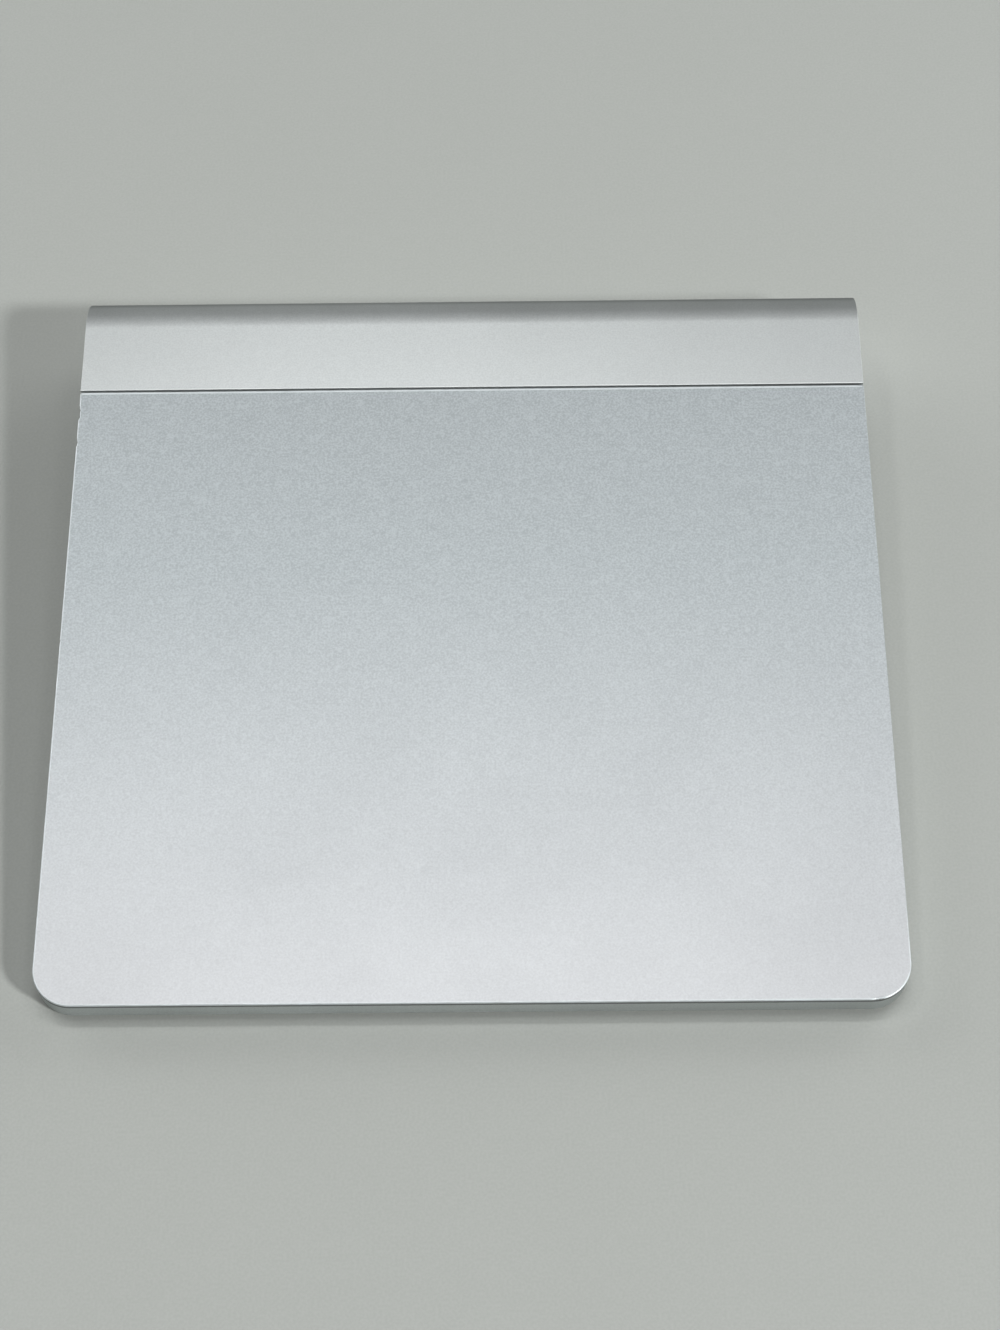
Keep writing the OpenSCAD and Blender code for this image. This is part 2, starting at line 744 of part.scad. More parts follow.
// Saddle under the web that the rod turns in, with an ear for its screw
module bar_bearing(side) {
    color("#f0efe9") on_plate() translate([side * bearing_x, rod_up, 0]) difference() {
        union() {
            between(bearing_level, web_level) square([bearing_l, bearing_w], center = true);
            between(web_level - ear_t, web_level) bearing_ear();
        }
        translate([-bearing_l, 0, rod_level]) rotate([0, 90, 0])
            cylinder(r = rod_d / 2 + rod_clear, h = 2 * bearing_l);
    }
}

// Flat ear behind the rod
module bearing_ear() {
    difference() {
        translate([-ear_l / 2, 0]) square([ear_l, bearing_w / 2 + ear_l]);
        translate([0, ear_up - rod_up]) circle(screw_d / 2 + screw_clear);
    }
}

module bearing_screws() {
    color("#8d9194") on_plate() for (at = bearing_screws_at) translate(at) web_screw(ear_t);
}

// Board with the dome at its front end and a thin tail that runs back to the logic board
module click_switch_board() {
    color("#b5862f") on_plate() {
        between(web_level - click_board_t, web_level)
            translate([0, dome_up]) square(dome_d + 2 * click_board_edge, center = true);
        between(web_level - ribbon_t, web_level)
            translate([-click_tail_w / 2, dome_up]) square([click_tail_w, board_front_up - dome_up]);
    }
}

// Thin sprung dome
module click_dome() {
    color("#c7c9c6") on_plate() translate([0, dome_up, web_level - click_board_t]) mirror([0, 0, 1])
        round_cap(dome_d / 2, dome_h, 0);
}

// Power button end of the tube

module power_button() {
    dish_r = button_r - face_edge;
    dish = [for (i = [0:curve_steps]) let (r = dish_r * i / curve_steps)
        [button_face_at - cap_height(r, dish_r, button_dish), r]];
    color("#c9cccd") turned(concat([[stem_end_at, 0]], dish, [
        [button_face_at - face_edge, button_r], [flange_at, button_r], [flange_at, flange_r],
        [flange_back_at, flange_r], [flange_back_at, button_stem_d / 2], [stem_end_at, button_stem_d / 2]
    ]));
}

// Sleeve in the tube's right end, with a lip in front of the button's flange
module power_bezel() {
    lip_at = button_face_at - bezel_lip_t;
    head_at = button_face_at - cap_head_t + seat_gap;
    color("#c9cccd") turned([
        [button_face_at, button_r + button_clear], [button_face_at, head_r],
        [head_at, head_r], [head_at, bezel_r], [bezel_end_at, bezel_r],
        [bezel_end_at, flange_r + button_clear], [lip_at, flange_r + button_clear],
        [lip_at, button_r + button_clear]
    ]);
}

// Case of the switch, with a well for its plunger
module power_switch() {
    well = plunger_in + button_travel + seat_gap;
    color("#2b2e31") in_tube() translate([0, 0, switch_face_at]) difference() {
        translate([-switch_w / 2, -switch_w / 2, -switch_h]) cube([switch_w, switch_w, switch_h]);
        translate([0, 0, -well]) cylinder(r = plunger_d / 2 + plunger_clear, h = well + lap);
    }
}

module power_switch_plunger() {
    color("#e9e9e6") in_tube() translate([0, 0, switch_face_at - plunger_in])
        cylinder(d = plunger_d, h = plunger_in + plunger_out);
}

module power_switch_board() {
    color("#1f4e3d") in_tube() translate([0, 0, switch_board_at])
        cylinder(r = bore_r - cell_clear, h = switch_board_t);
}

// Ribbon from the power switch board: on edge through the passage, then flat to the logic board and the light
module power_ribbon() {
    end_at = power_ribbon_at + ribbon_t;
    light_low = web_level - light_t - ribbon_t;
    color("#b5862f") on_plate() {
        translate([power_ribbon_at, power_plug_up - power_ribbon_w / 2, power_ribbon_level])
            cube([ribbon_t, tube_up - bore_r / 2 - power_plug_up, power_ribbon_w]);
        translate([board_right_x - plug_in, power_plug_up - power_ribbon_w / 2, plug_level])
            cube([end_at - board_right_x + plug_in, power_ribbon_w, ribbon_t]);
        translate([light_x - light_l / 2, light_up - light_l / 2, light_low])
            cube([end_at - light_x + light_l / 2, light_l, ribbon_t]);
    }
}

module status_light() {
    color("#f2f4ee") on_plate() between(web_level - light_t, web_level)
        translate([light_x, light_up]) square(light_l, center = true);
}

// Moulded cup that carries the positive contact on its end wall and the switch board on its rim
module contact_carrier() {
    sleeve_at = carrier_at + carrier_face_t;
    color("#e6e4dc") turned([
        [carrier_at, 0], [carrier_at, bezel_r], [switch_board_at, bezel_r],
        [switch_board_at, bezel_r - carrier_wall], [sleeve_at, bezel_r - carrier_wall], [sleeve_at, 0]
    ]);
}

module positive_contact() {
    color("#c8a24a") in_tube() translate([0, 0, contact_at]) cylinder(d = contact_d, h = contact_t);
}

// Batteries and cap

// Cells in a row, each with its button towards the power switch
module batteries() {
    color("#5d6368") for (i = [0:cell_count - 1]) cell(cells_at + i * cell_pitch);
}

module cell(at) {
    r = cell_d / 2;
    inner_r = r - cell_shoulder;
    top_at = at + cell_l - cell_button_h;
    turned([
        [at, 0], [at, inner_r], [at + cell_shoulder, r], [top_at - cell_shoulder, r], [top_at, inner_r],
        [top_at, cell_button_d / 2], [at + cell_l, cell_button_d / 2], [at + cell_l, 0]
    ]);
}

// Contact spring: one round wire swept along a tapering coil
wire_sides = 8;
rings_a_turn = 16;
spring_rings = spring_turns * rings_a_turn;

function wire_ring(t) = let (turn = 360 * spring_turns * t, wire_r = spring_wire_d / 2)
    let (coil_r = (spring_wide_d + (spring_tip_d - spring_wide_d) * t) / 2)
    [for (k = [0:wire_sides - 1]) let (a = 360 * k / wire_sides, r = coil_r + wire_r * cos(a))
        [r * cos(turn), r * sin(turn), wire_r * (1 + sin(a)) + (spring_l - spring_wire_d) * t]];

module negative_spring() {
    n = wire_sides;
    last = spring_rings * n;
    points = [for (i = [0:spring_rings]) each wire_ring(i / spring_rings)];
    walls = [for (i = [0:spring_rings - 1], k = [0:n - 1])
        let (a = i * n + k, b = i * n + (k + 1) % n) each [[a, a + n, b + n], [a, b + n, b]]];
    start = [for (k = [1:n - 2]) [0, k, k + 1]];
    end = [for (k = [1:n - 2]) [last, last + k + 1, last + k]];
    color("#b4b8ba") in_tube() translate([0, 0, spring_at]) polyhedron(points, concat(walls, start, end));
}

module spring_plate() {
    color("#c8a24a") in_tube() translate([0, 0, spring_plate_at + seat_gap])
        cylinder(r = cap_cup_r - 2 * cap_clear, h = spring_plate_t);
}

// Turned plug with a coin slot across its face and a cup for the spring
module battery_cap() {
    shoulder_at = cap_stop_at - seat_gap;
    color("#c9cccd") difference() {
        turned([
            [cap_face_at, 0], [cap_face_at, head_r - face_edge], [cap_face_at + face_edge, head_r],
            [shoulder_at, head_r], [shoulder_at, cap_plug_r], [cap_end_at, cap_plug_r],
            [cap_end_at, cap_cup_r], [spring_plate_at, cap_cup_r], [spring_plate_at, 0]
        ]);
        in_tube() translate([-coin_slot_w / 2, 0, cap_face_at + coin_slot_h - coin_r])
            rotate([0, 90, 0]) cylinder(r = coin_r, h = coin_slot_w);
    }
}

enclosure();
touch_glass();
glass_film();
sensor_board();
touch_chips();
sensor_ribbon();
logic_board();
logic_chips();
radio_shield();
board_connectors();
board_screws();
bottom_cover();
cover_tape();
rear_foot(-1);  // rear_foot_left
rear_foot(1);  // rear_foot_right
front_foot(-1);  // front_foot_left
front_foot(1);  // front_foot_right
foot_plunger(-1);  // foot_plunger_left
foot_plunger(1);  // foot_plunger_right
click_bar();
bar_bearing(-1);  // bar_bearing_left
bar_bearing(1);  // bar_bearing_right
bearing_screws();
click_switch_board();
click_dome();
power_button();
power_bezel();
power_switch();
power_switch_plunger();
power_switch_board();
power_ribbon();
status_light();
contact_carrier();
positive_contact();
batteries();
negative_spring();
spring_plate();
battery_cap();
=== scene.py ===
import bpy
import bmesh
import json
import math
from mathutils import Matrix, Vector

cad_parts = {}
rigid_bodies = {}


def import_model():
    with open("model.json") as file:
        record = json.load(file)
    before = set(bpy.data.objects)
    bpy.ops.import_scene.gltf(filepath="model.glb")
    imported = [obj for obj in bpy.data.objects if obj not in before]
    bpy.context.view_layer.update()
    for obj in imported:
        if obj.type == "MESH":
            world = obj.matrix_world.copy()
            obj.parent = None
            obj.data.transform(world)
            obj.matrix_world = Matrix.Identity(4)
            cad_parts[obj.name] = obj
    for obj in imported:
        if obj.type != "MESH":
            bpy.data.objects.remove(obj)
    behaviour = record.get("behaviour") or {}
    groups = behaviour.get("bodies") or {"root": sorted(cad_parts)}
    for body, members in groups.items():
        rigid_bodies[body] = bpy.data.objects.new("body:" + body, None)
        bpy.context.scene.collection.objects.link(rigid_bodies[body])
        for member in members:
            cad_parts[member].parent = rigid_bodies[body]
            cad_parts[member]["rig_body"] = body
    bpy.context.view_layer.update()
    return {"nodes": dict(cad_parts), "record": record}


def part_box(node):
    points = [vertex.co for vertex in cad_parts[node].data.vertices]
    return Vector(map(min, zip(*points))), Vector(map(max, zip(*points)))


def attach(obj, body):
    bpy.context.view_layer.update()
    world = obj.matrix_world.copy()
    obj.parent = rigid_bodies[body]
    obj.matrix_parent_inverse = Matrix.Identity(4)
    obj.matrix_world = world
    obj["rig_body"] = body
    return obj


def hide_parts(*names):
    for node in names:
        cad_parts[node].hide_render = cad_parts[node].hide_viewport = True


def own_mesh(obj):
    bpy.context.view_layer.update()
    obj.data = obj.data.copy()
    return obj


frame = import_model()
nodes = frame["nodes"]
scene = bpy.context.scene
mm = 0.001
near = 0.02 * mm  # a point this close to a face counts as on it
weldDistance = 0.001 * mm
flatAngle = math.radians(0.4)  # neighbouring faces flatter than this become one
print("frame loaded,", len(nodes), "solids")


# the touch surface's own frame: x across, y up the slope from the front edge, z square to the glass
def findPlate():
    glass = nodes["touch_glass"].data
    up = Vector()
    for face in glass.polygons:
        if face.normal.z > 0.98:
            up += face.normal * face.area
    turn = Matrix.Rotation(math.atan2(-up.y, up.z), 4, "X")
    seen = [turn.transposed() @ v.co for v in glass.vertices]
    edge = Vector((0, min(p.y for p in seen), max(p.z for p in seen)))
    return Matrix.Translation(turn @ edge) @ turn


plate = findPlate()
plateInverse = plate.inverted()


# lowest and highest corner of a solid, along the touch surface's own axes
def plateBox(name):
    seen = [plateInverse @ v.co for v in nodes[name].data.vertices]
    return [Vector([pick(p[i] for p in seen) for i in range(3)]) for pick in (min, max)]


# the battery tube's axis runs along x through the middle of the cap
capLow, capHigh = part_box("battery_cap")
axisY = (capLow.y + capHigh.y) / 2
axisZ = (capLow.z + capHigh.z) / 2
print("plate slope", round(math.degrees(plate.to_euler().x), 3), "tube axis", round(axisY, 5), round(axisZ, 5))


# shader helpers
def feed(tree, socket, value):
    if isinstance(value, bpy.types.NodeSocket):
        tree.links.new(value, socket)
    else:
        socket.default_value = value


def addNode(tree, kind, inputs=None, **settings):
    node = tree.nodes.new(kind)
    for name, value in settings.items():
        setattr(node, name, value)
    for name, value in (inputs or {}).items():
        feed(tree, node.inputs[name], value)
    return node


def calc(tree, operation, first, second=0.0, third=0.0):
    node = addNode(tree, "ShaderNodeMath", operation=operation)
    for socket, value in zip(node.inputs, (first, second, third)):
        feed(tree, socket, value)
    return node.outputs[0]


def mixColour(tree, factor, low, high):
    node = addNode(tree, "ShaderNodeMix", data_type="RGBA")
    for index, value in ((0, factor), (6, low), (7, high)):
        feed(tree, node.inputs[index], value)
    return node.outputs[2]


def remap(tree, value, fromLow, fromHigh, toLow, toHigh):
    node = addNode(tree, "ShaderNodeMapRange")
    for name, number in zip(("Value", "From Min", "From Max", "To Min", "To Max"),
                            (value, fromLow, fromHigh, toLow, toHigh)):
        feed(tree, node.inputs[name], number)
    return node.outputs[0]


def noise(tree, place, scale, detail=2.0, distortion=0.0):
    node = addNode(tree, "ShaderNodeTexNoise", {"Vector": place, "Scale": scale, "Detail": detail,
                                                "Distortion": distortion})
    return node.outputs[0]


def objectPlace(tree):
    return addNode(tree, "ShaderNodeTexCoord").outputs["Object"]


def newGroup(name, inputs, outputs):
    group = bpy.data.node_groups.new(name, "ShaderNodeTree")
    for label, value in inputs.items():
        group.interface.new_socket(label, in_out="INPUT", socket_type="NodeSocketFloat").default_value = value
    for label in outputs:
        group.interface.new_socket(label, in_out="OUTPUT", socket_type="NodeSocketFloat")
    return group, group.nodes.new("NodeGroupInput").outputs, group.nodes.new("NodeGroupOutput").inputs


# fine pits of blasted metal, etched glass or moulded plastic, with a slower mottle under them
def makeGrain():
    group, given, out = newGroup("fineGrain", {"Scale": 5000.0, "Spread": 1.0}, ("Tone", "Height"))
    place = objectPlace(group)
    pits = noise(group, place, given["Scale"], 3.0)
    mottle = noise(group, place, calc(group, "MULTIPLY", given["Scale"], 0.19), 2.0)
    both = calc(group, "ADD", calc(group, "MULTIPLY", pits, 0.86), calc(group, "MULTIPLY", mottle, 0.14))
    spread = calc(group, "MULTIPLY", given["Spread"], 4.0)
    wide = calc(group, "MULTIPLY_ADD", calc(group, "SUBTRACT", both, 0.5), spread, 0.5)
    feed(group, out["Tone"], addNode(group, "ShaderNodeClamp", {"Value": wide}).outputs[0])
    feed(group, out["Height"], pits)
    return group


# broad patches left by hands and cloths
def makeHandling():
    group, given, out = newGroup("handling", {"Scale": 30.0, "Amount": 1.0}, ("Mask",))
    place = objectPlace(group)
    broad = remap(group, noise(group, place, given["Scale"], 5.0, 0.8), 0.38, 0.68, 0.0, 1.0)
    fine = noise(group, place, calc(group, "MULTIPLY", given["Scale"], 9.0), 3.0)
    feed(group, out["Mask"], calc(group, "MULTIPLY", calc(group, "MULTIPLY", broad, fine), given["Amount"]))
    return group


# bright line on the eased edges, which carry the attribute "edge": worn edges, and on the glass's rim partly a
# painted highlight
def makeEdgeWearAndHighlight():
    group, given, out = newGroup("edgeWearAndHighlight", {"Scale": 600.0, "Amount": 1.0}, ("Mask",))
    mark = addNode(group, "ShaderNodeAttribute", attribute_name="edge").outputs["Fac"]
    rub = remap(group, noise(group, objectPlace(group), given["Scale"], 3.0), 0.3, 0.7, 0.55, 1.0)
    feed(group, out["Mask"], calc(group, "MULTIPLY", calc(group, "MULTIPLY", mark, rub), given["Amount"]))
    return group


# dirt and painted shade down in the seam, and the darker cut sides, which carry the attribute "recess"
def makeRecess():
    group, given, out = newGroup("recess", {"Scale": 900.0, "Amount": 1.0}, ("Mask",))
    mark = addNode(group, "ShaderNodeAttribute", attribute_name="recess").outputs["Fac"]
    patch = remap(group, noise(group, objectPlace(group), given["Scale"], 3.0), 0.3, 0.7, 0.85, 1.0)
    feed(group, out["Mask"], calc(group, "MULTIPLY", calc(group, "MULTIPLY", mark, patch), given["Amount"]))
    return group


# rings left by a turning tool round the tube's axis
def makeRings():
    group, given, out = newGroup("turnedRings", {"Axis Y": 0.0, "Axis Z": 0.0, "Spacing": 0.2 * mm},
                                 ("Tone", "Height"))
    place = objectPlace(group)
    split = addNode(group, "ShaderNodeSeparateXYZ", {"Vector": place}).outputs
    across = calc(group, "SUBTRACT", split[1], given["Axis Y"])
    above = calc(group, "SUBTRACT", split[2], given["Axis Z"])
    radius = calc(group, "SQRT", calc(group, "ADD", calc(group, "MULTIPLY", across, across),
                                      calc(group, "MULTIPLY", above, above)))
    turns = calc(group, "DIVIDE", radius, given["Spacing"])
    wobble = calc(group, "MULTIPLY", noise(group, place, 900.0, 2.0), 1.5)
    wave = calc(group, "SINE", calc(group, "MULTIPLY", calc(group, "ADD", turns, wobble), 2 * math.pi))
    height = calc(group, "MULTIPLY_ADD", wave, 0.5, 0.5)
    feed(group, out["Height"], height)
    feed(group, out["Tone"], calc(group, "ADD", calc(group, "MULTIPLY", height, 0.5),
                                  calc(group, "MULTIPLY", noise(group, place, 4000.0), 0.5)))
    return group


fineGrain, handling, edgeWearAndHighlight, turnedRings = makeGrain(), makeHandling(), makeEdgeWearAndHighlight(), makeRings()
recess = makeRecess()


def useGroup(tree, group, **values):
    node = addNode(tree, "ShaderNodeGroup", node_tree=group)
    for name, value in values.items():
        feed(tree, node.inputs[name.replace("_", " ")], value)
    return node.outputs


# a material with its unchanging values set on the shader itself
def newFinish(name, metallic, roughness, **constants):
    material = bpy.data.materials.new(name)
    material.use_nodes = True
    tree = material.node_tree
    shader = tree.nodes["Principled BSDF"]
    shader.inputs["Metallic"].default_value = metallic
    shader.inputs["Roughness"].default_value = roughness
    for label, value in constants.items():
        shader.inputs[label.replace("_", " ")].default_value = value
    return material, tree, shader.inputs


def addBump(tree, inputs, height, distance, strength=0.5):
    bump = addNode(tree, "ShaderNodeBump", {"Height": height, "Distance": distance, "Strength": strength})
    feed(tree, inputs["Normal"], bump.outputs[0])


# share of the darker tone towards the ends of the body, most at the button's end
endToneReach = {"end": 64 * mm, "right": 0.26, "leftStart": 35 * mm, "left": 0.16}


def endToneShare(tree):
    along = addNode(tree, "ShaderNodeSeparateXYZ", {"Vector": objectPlace(tree)}).outputs[0]
    right = remap(tree, along, 0.0, endToneReach["end"], 0.0, endToneReach["right"])
    return calc(tree, "ADD", right, remap(tree, along, -endToneReach["leftStart"], -endToneReach["end"], 0.0, endToneReach["left"]))


# painted shade: upper faces are darkened by the viewing angle as they are seen edge on; each step is a start, an end
# and the share that is lost
def paintedEdgeOnShade(tree, colour, steps):
    aside = addNode(tree, "ShaderNodeLayerWeight", {"Blend": 0.5}).outputs["Facing"]
    facing = addNode(tree, "ShaderNodeNewGeometry").outputs["Normal"]
    rising = addNode(tree, "ShaderNodeSeparateXYZ", {"Vector": facing}).outputs[2]
    upper = remap(tree, rising, 0.1, 0.5, 0.0, 1.0)
    for start, end, loss in steps:
        lost = calc(tree, "MULTIPLY", upper, remap(tree, aside, start, end, 0.0, loss))
        colour = mixColour(tree, lost, colour, (0, 0, 0, 1))
    return colour


# a finish whose colour wanders between two tones with its grain, and whose gloss is dulled by handling
def grainFinish(name, low, high, scale, metallic=0.0, roughness=(0.45, 0.6), bump=0.01, edge=None, deep=None,
                grip=None, slant=(), **constants):
    material, tree, inputs = newFinish(name, metallic, roughness[0], **constants)
    grain = useGroup(tree, fineGrain, Scale=scale)
    smear = useGroup(tree, handling, Scale=45.0)
    colour = mixColour(tree, grain["Tone"], (*low, 1), (*high, 1))
    rough = remap(tree, smear["Mask"], 0.0, 0.6, roughness[0], roughness[1])
    # a darker tone towards both ends
    if grip:
        colour = mixColour(tree, endToneShare(tree), colour, (*grip, 1))
    if edge:
        worn = useGroup(tree, edgeWearAndHighlight)["Mask"]
        colour = mixColour(tree, worn, colour, (*edge, 1))
    # dirt and painted shade down in the seam
    if deep:
        colour = mixColour(tree, useGroup(tree, recess)["Mask"], colour, (*deep, 1))
    # painted shade where upper faces are seen edge on
    if slant:
        colour = paintedEdgeOnShade(tree, colour, slant)
    feed(tree, inputs["Base Color"], colour)
    feed(tree, inputs["Roughness"], rough)
    addBump(tree, inputs, grain["Height"], bump * mm)
    return material


# body: worn edges, dirt and painted shade in the seam, a darker tone towards both ends, and painted shade on upper
# faces seen edge on
body = {"edge": (0.83, 0.86, 0.86), "deep": (0.06, 0.058, 0.04), "grip": (0.37, 0.394, 0.389),
        "slant": ((0.14, 0.42, 0.26), (0.66, 0.82, 0.24)), "Specular_Tint": (0.1, 0.1, 0.09, 1)}
# slot: name, low and high tone, grain scale, metallic, roughness clean and handled, grain depth in mm, worn edge
plainFinishes = {
    "body_aluminium": ("bodyAluminium", (0.75, 0.785, 0.786), (0.829, 0.866, 0.867), 3600.0, 1.0, (0.51, 0.55),
                       0.004),
    "bonding_film": ("bondingFilm", (0.46, 0.48, 0.49), (0.54, 0.56, 0.57), 900.0),
    "chip_black": ("chipMould", (0.022, 0.022, 0.026), (0.04, 0.04, 0.045), 9000.0, 0.0, (0.55, 0.7)),
    "ribbon_amber": ("ribbonFilm", (0.47, 0.27, 0.055), (0.62, 0.38, 0.10), 700.0, 0.0, (0.28, 0.4), 0.002),
    "shield_steel": ("tinnedShield", (0.56, 0.58, 0.59), (0.68, 0.70, 0.71), 1500.0, 1.0, (0.28, 0.42), 0.002),
    "connector_cream": ("connectorMould", (0.74, 0.70, 0.58), (0.82, 0.78, 0.66), 4000.0, 0.0, (0.42, 0.55)),
    "screw_steel": ("screwPlating", (0.44, 0.46, 0.47), (0.56, 0.58, 0.59), 6000.0, 1.0, (0.28, 0.4), 0.002),
    "tape_grey": ("tapeFoam", (0.07, 0.07, 0.08), (0.13, 0.13, 0.14), 3000.0, 0.0, (0.75, 0.85), 0.02),
    "plunger_plastic": ("plungerMould", (0.76, 0.76, 0.73), (0.84, 0.84, 0.81), 4500.0, 0.0, (0.36, 0.48)),
    "bar_steel": ("barSteel", (0.39, 0.41, 0.43), (0.51, 0.53, 0.55), 3500.0, 1.0, (0.30, 0.44), 0.004),
    "dome_steel": ("domeSteel", (0.62, 0.63, 0.62), (0.70, 0.71, 0.70), 5000.0, 1.0, (0.18, 0.28), 0.001),
    "light_lens": ("lensResin", (0.82, 0.84, 0.80), (0.90, 0.92, 0.88), 2500.0, 0.0, (0.12, 0.2), 0.001),
    "contact_brass": ("contactPlating", (0.67, 0.50, 0.19), (0.77, 0.60, 0.25), 2500.0, 1.0, (0.22, 0.35), 0.002),
    "spring_steel": ("springWire", (0.55, 0.57, 0.58), (0.65, 0.67, 0.68), 7000.0, 1.0, (0.2, 0.3), 0.002),
    "cover_plastic": ("coverMould", (0.70, 0.71, 0.71), (0.78, 0.79, 0.79), 2600.0, 0.0, (0.5, 0.62), 0.03),
    "foot_rubber": ("footRubber", (0.22, 0.23, 0.24), (0.32, 0.33, 0.34), 3200.0, 0.0, (0.72, 0.84), 0.02,
                    (0.36, 0.37, 0.38)),
}
finishes = {slot: grainFinish(*values, **(body if slot == "body_aluminium" else {}))
            for slot, values in plainFinishes.items()}


# etched glass over a silver coat: satin, with a fine sparkle; a lighter eased rim, partly bare ground glass and
# partly painted highlight; a painted sheen that turns the colour lighter and warmer towards the front; and painted
# shade where it is seen edge on
satin = {"low": (0.440, 0.481, 0.499, 1), "high": (0.555, 0.603, 0.622, 1), "front": (0.68, 0.64, 0.65, 1),
         "side": (0.08, 0.085, 0.08, 1), "rim": (0.82, 0.88, 0.90, 1), "slant": ((0.45, 0.8, 0.3),),
         "grain": 3100.0, "bump": 0.004 * mm}


def glassFinish():
    material, tree, inputs = newFinish("satinGlass", 0.6, 0.46, Coat_Roughness=0.4, Coat_IOR=1.5,
                                       Specular_Tint=(0.3, 0.3, 0.3, 1))
    along = addNode(tree, "ShaderNodeSeparateXYZ", {"Vector": objectPlace(tree)}).outputs[1]
    spread = remap(tree, along, -60 * mm, 40 * mm, 0.62, 1.2)  # polished by use towards the front
    # painted sheen: the colour turns lighter and warmer towards the front
    paintedFrontSheen = remap(tree, along, 10 * mm, -60 * mm, 0.0, 0.34)
    grain = useGroup(tree, fineGrain, Scale=satin["grain"], Spread=spread)
    smear = useGroup(tree, handling, Scale=26.0)
    rim = useGroup(tree, edgeWearAndHighlight, Scale=500.0)
    silver = mixColour(tree, grain["Tone"], satin["low"], satin["high"])
    silver = mixColour(tree, paintedFrontSheen, silver, satin["front"])
    # darker cut sides; the rear side, down in the seam, takes painted shade as well
    deep = mixColour(tree, useGroup(tree, recess)["Mask"], silver, satin["side"])
    colour = mixColour(tree, rim["Mask"], deep, satin["rim"])
    # painted shade where the glass is seen edge on
    feed(tree, inputs["Base Color"], paintedEdgeOnShade(tree, colour, satin["slant"]))
    feed(tree, inputs["Roughness"], remap(tree, smear["Mask"], 0.0, 0.6, 0.45, 0.49))
    feed(tree, inputs["Coat Weight"], remap(tree, grain["Tone"], 0.0, 1.0, 0.1, 0.25))
    addBump(tree, inputs, grain["Height"], satin["bump"])
    return material


def turnedFinish():
    material, tree, inputs = newFinish("turnedAluminium", 1.0, 0.3)
    rings = useGroup(tree, turnedRings, Axis_Y=axisY, Axis_Z=axisZ, Spacing=0.16 * mm)
    smear = useGroup(tree, handling, Scale=60.0)
    worn = useGroup(tree, edgeWearAndHighlight)["Mask"]
    silver = mixColour(tree, rings["Tone"], (0.62, 0.64, 0.65, 1), (0.74, 0.76, 0.77, 1))
    feed(tree, inputs["Base Color"], mixColour(tree, worn, silver, (0.86, 0.88, 0.88, 1)))
    feed(tree, inputs["Roughness"], remap(tree, smear["Mask"], 0.0, 0.6, 0.28, 0.38))
    addBump(tree, inputs, rings["Height"], 0.006 * mm)
    return material


# solder mask over copper runs, which show as a faint grid of lines
def boardFinish():
    material, tree, inputs = newFinish("solderMask", 0.0, 0.35)
    place = objectPlace(tree)
    grain = useGroup(tree, fineGrain, Scale=5000.0)
    runs = addNode(tree, "ShaderNodeTexBrick", {
        "Vector": place, "Scale": 160.0, "Mortar Size": 0.035, "Color1": (0, 0, 0, 1), "Color2": (0, 0, 0, 1),
        "Mortar": (1, 1, 1, 1)})
    mask = mixColour(tree, grain["Tone"], (0.045, 0.17, 0.115, 1), (0.075, 0.23, 0.165, 1))
    feed(tree, inputs["Base Color"], mixColour(tree, runs.outputs["Color"], mask, (0.10, 0.31, 0.20, 1)))
    feed(tree, inputs["Roughness"], remap(tree, useGroup(tree, handling)["Mask"], 0.0, 0.6, 0.32, 0.46))
    addBump(tree, inputs, runs.outputs["Fac"], 0.02 * mm)
    return material


# plain shrunk jacket of a cell, dark with a paler band near its positive end
def jacketFinish():
    material, tree, inputs = newFinish("cellJacket", 0.6, 0.3)
    place = objectPlace(tree)
    grain = useGroup(tree, fineGrain, Scale=1800.0)
    along = addNode(tree, "ShaderNodeSeparateXYZ", {"Vector": place}).outputs[0]
    low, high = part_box("batteries")
    pitch = (high.x - low.x) / 2
    within = calc(tree, "FRACT", calc(tree, "DIVIDE", calc(tree, "SUBTRACT", along, low.x), pitch))
    band = calc(tree, "GREATER_THAN", within, 0.74)
    dark = mixColour(tree, grain["Tone"], (0.10, 0.11, 0.12, 1), (0.15, 0.16, 0.17, 1))
    pale = mixColour(tree, grain["Tone"], (0.48, 0.50, 0.51, 1), (0.58, 0.60, 0.61, 1))
    feed(tree, inputs["Base Color"], mixColour(tree, band, dark, pale))
    feed(tree, inputs["Roughness"], remap(tree, useGroup(tree, handling)["Mask"], 0.0, 0.6, 0.26, 0.4))
    addBump(tree, inputs, grain["Height"], 0.004 * mm)
    return material


finishes["coated_glass"] = glassFinish()
finishes["turned_aluminium"] = turnedFinish()
finishes["circuit_board"] = boardFinish()
finishes["cell_jacket"] = jacketFinish()
print("finishes made:", len(finishes))

# every solid takes its own slot's finish; the pieces below stand for some of them
slotOf = {part["node"]: part["material_slot"] for part in frame["record"]["subparts"]}
for name, solid in nodes.items():
    solid.data.materials.clear()
    solid.data.materials.append(finishes[slotOf[name]])


# mesh helpers
def mergedCopy(name):
    bm = bmesh.new()
    bm.from_mesh(nodes[name].data)
    bm.loops.layers.float.new("edge")
    bmesh.ops.remove_doubles(bm, verts=bm.verts, dist=weldDistance)
    bmesh.ops.dissolve_limit(bm, angle_limit=flatAngle, verts=bm.verts, edges=bm.edges)
    return bm


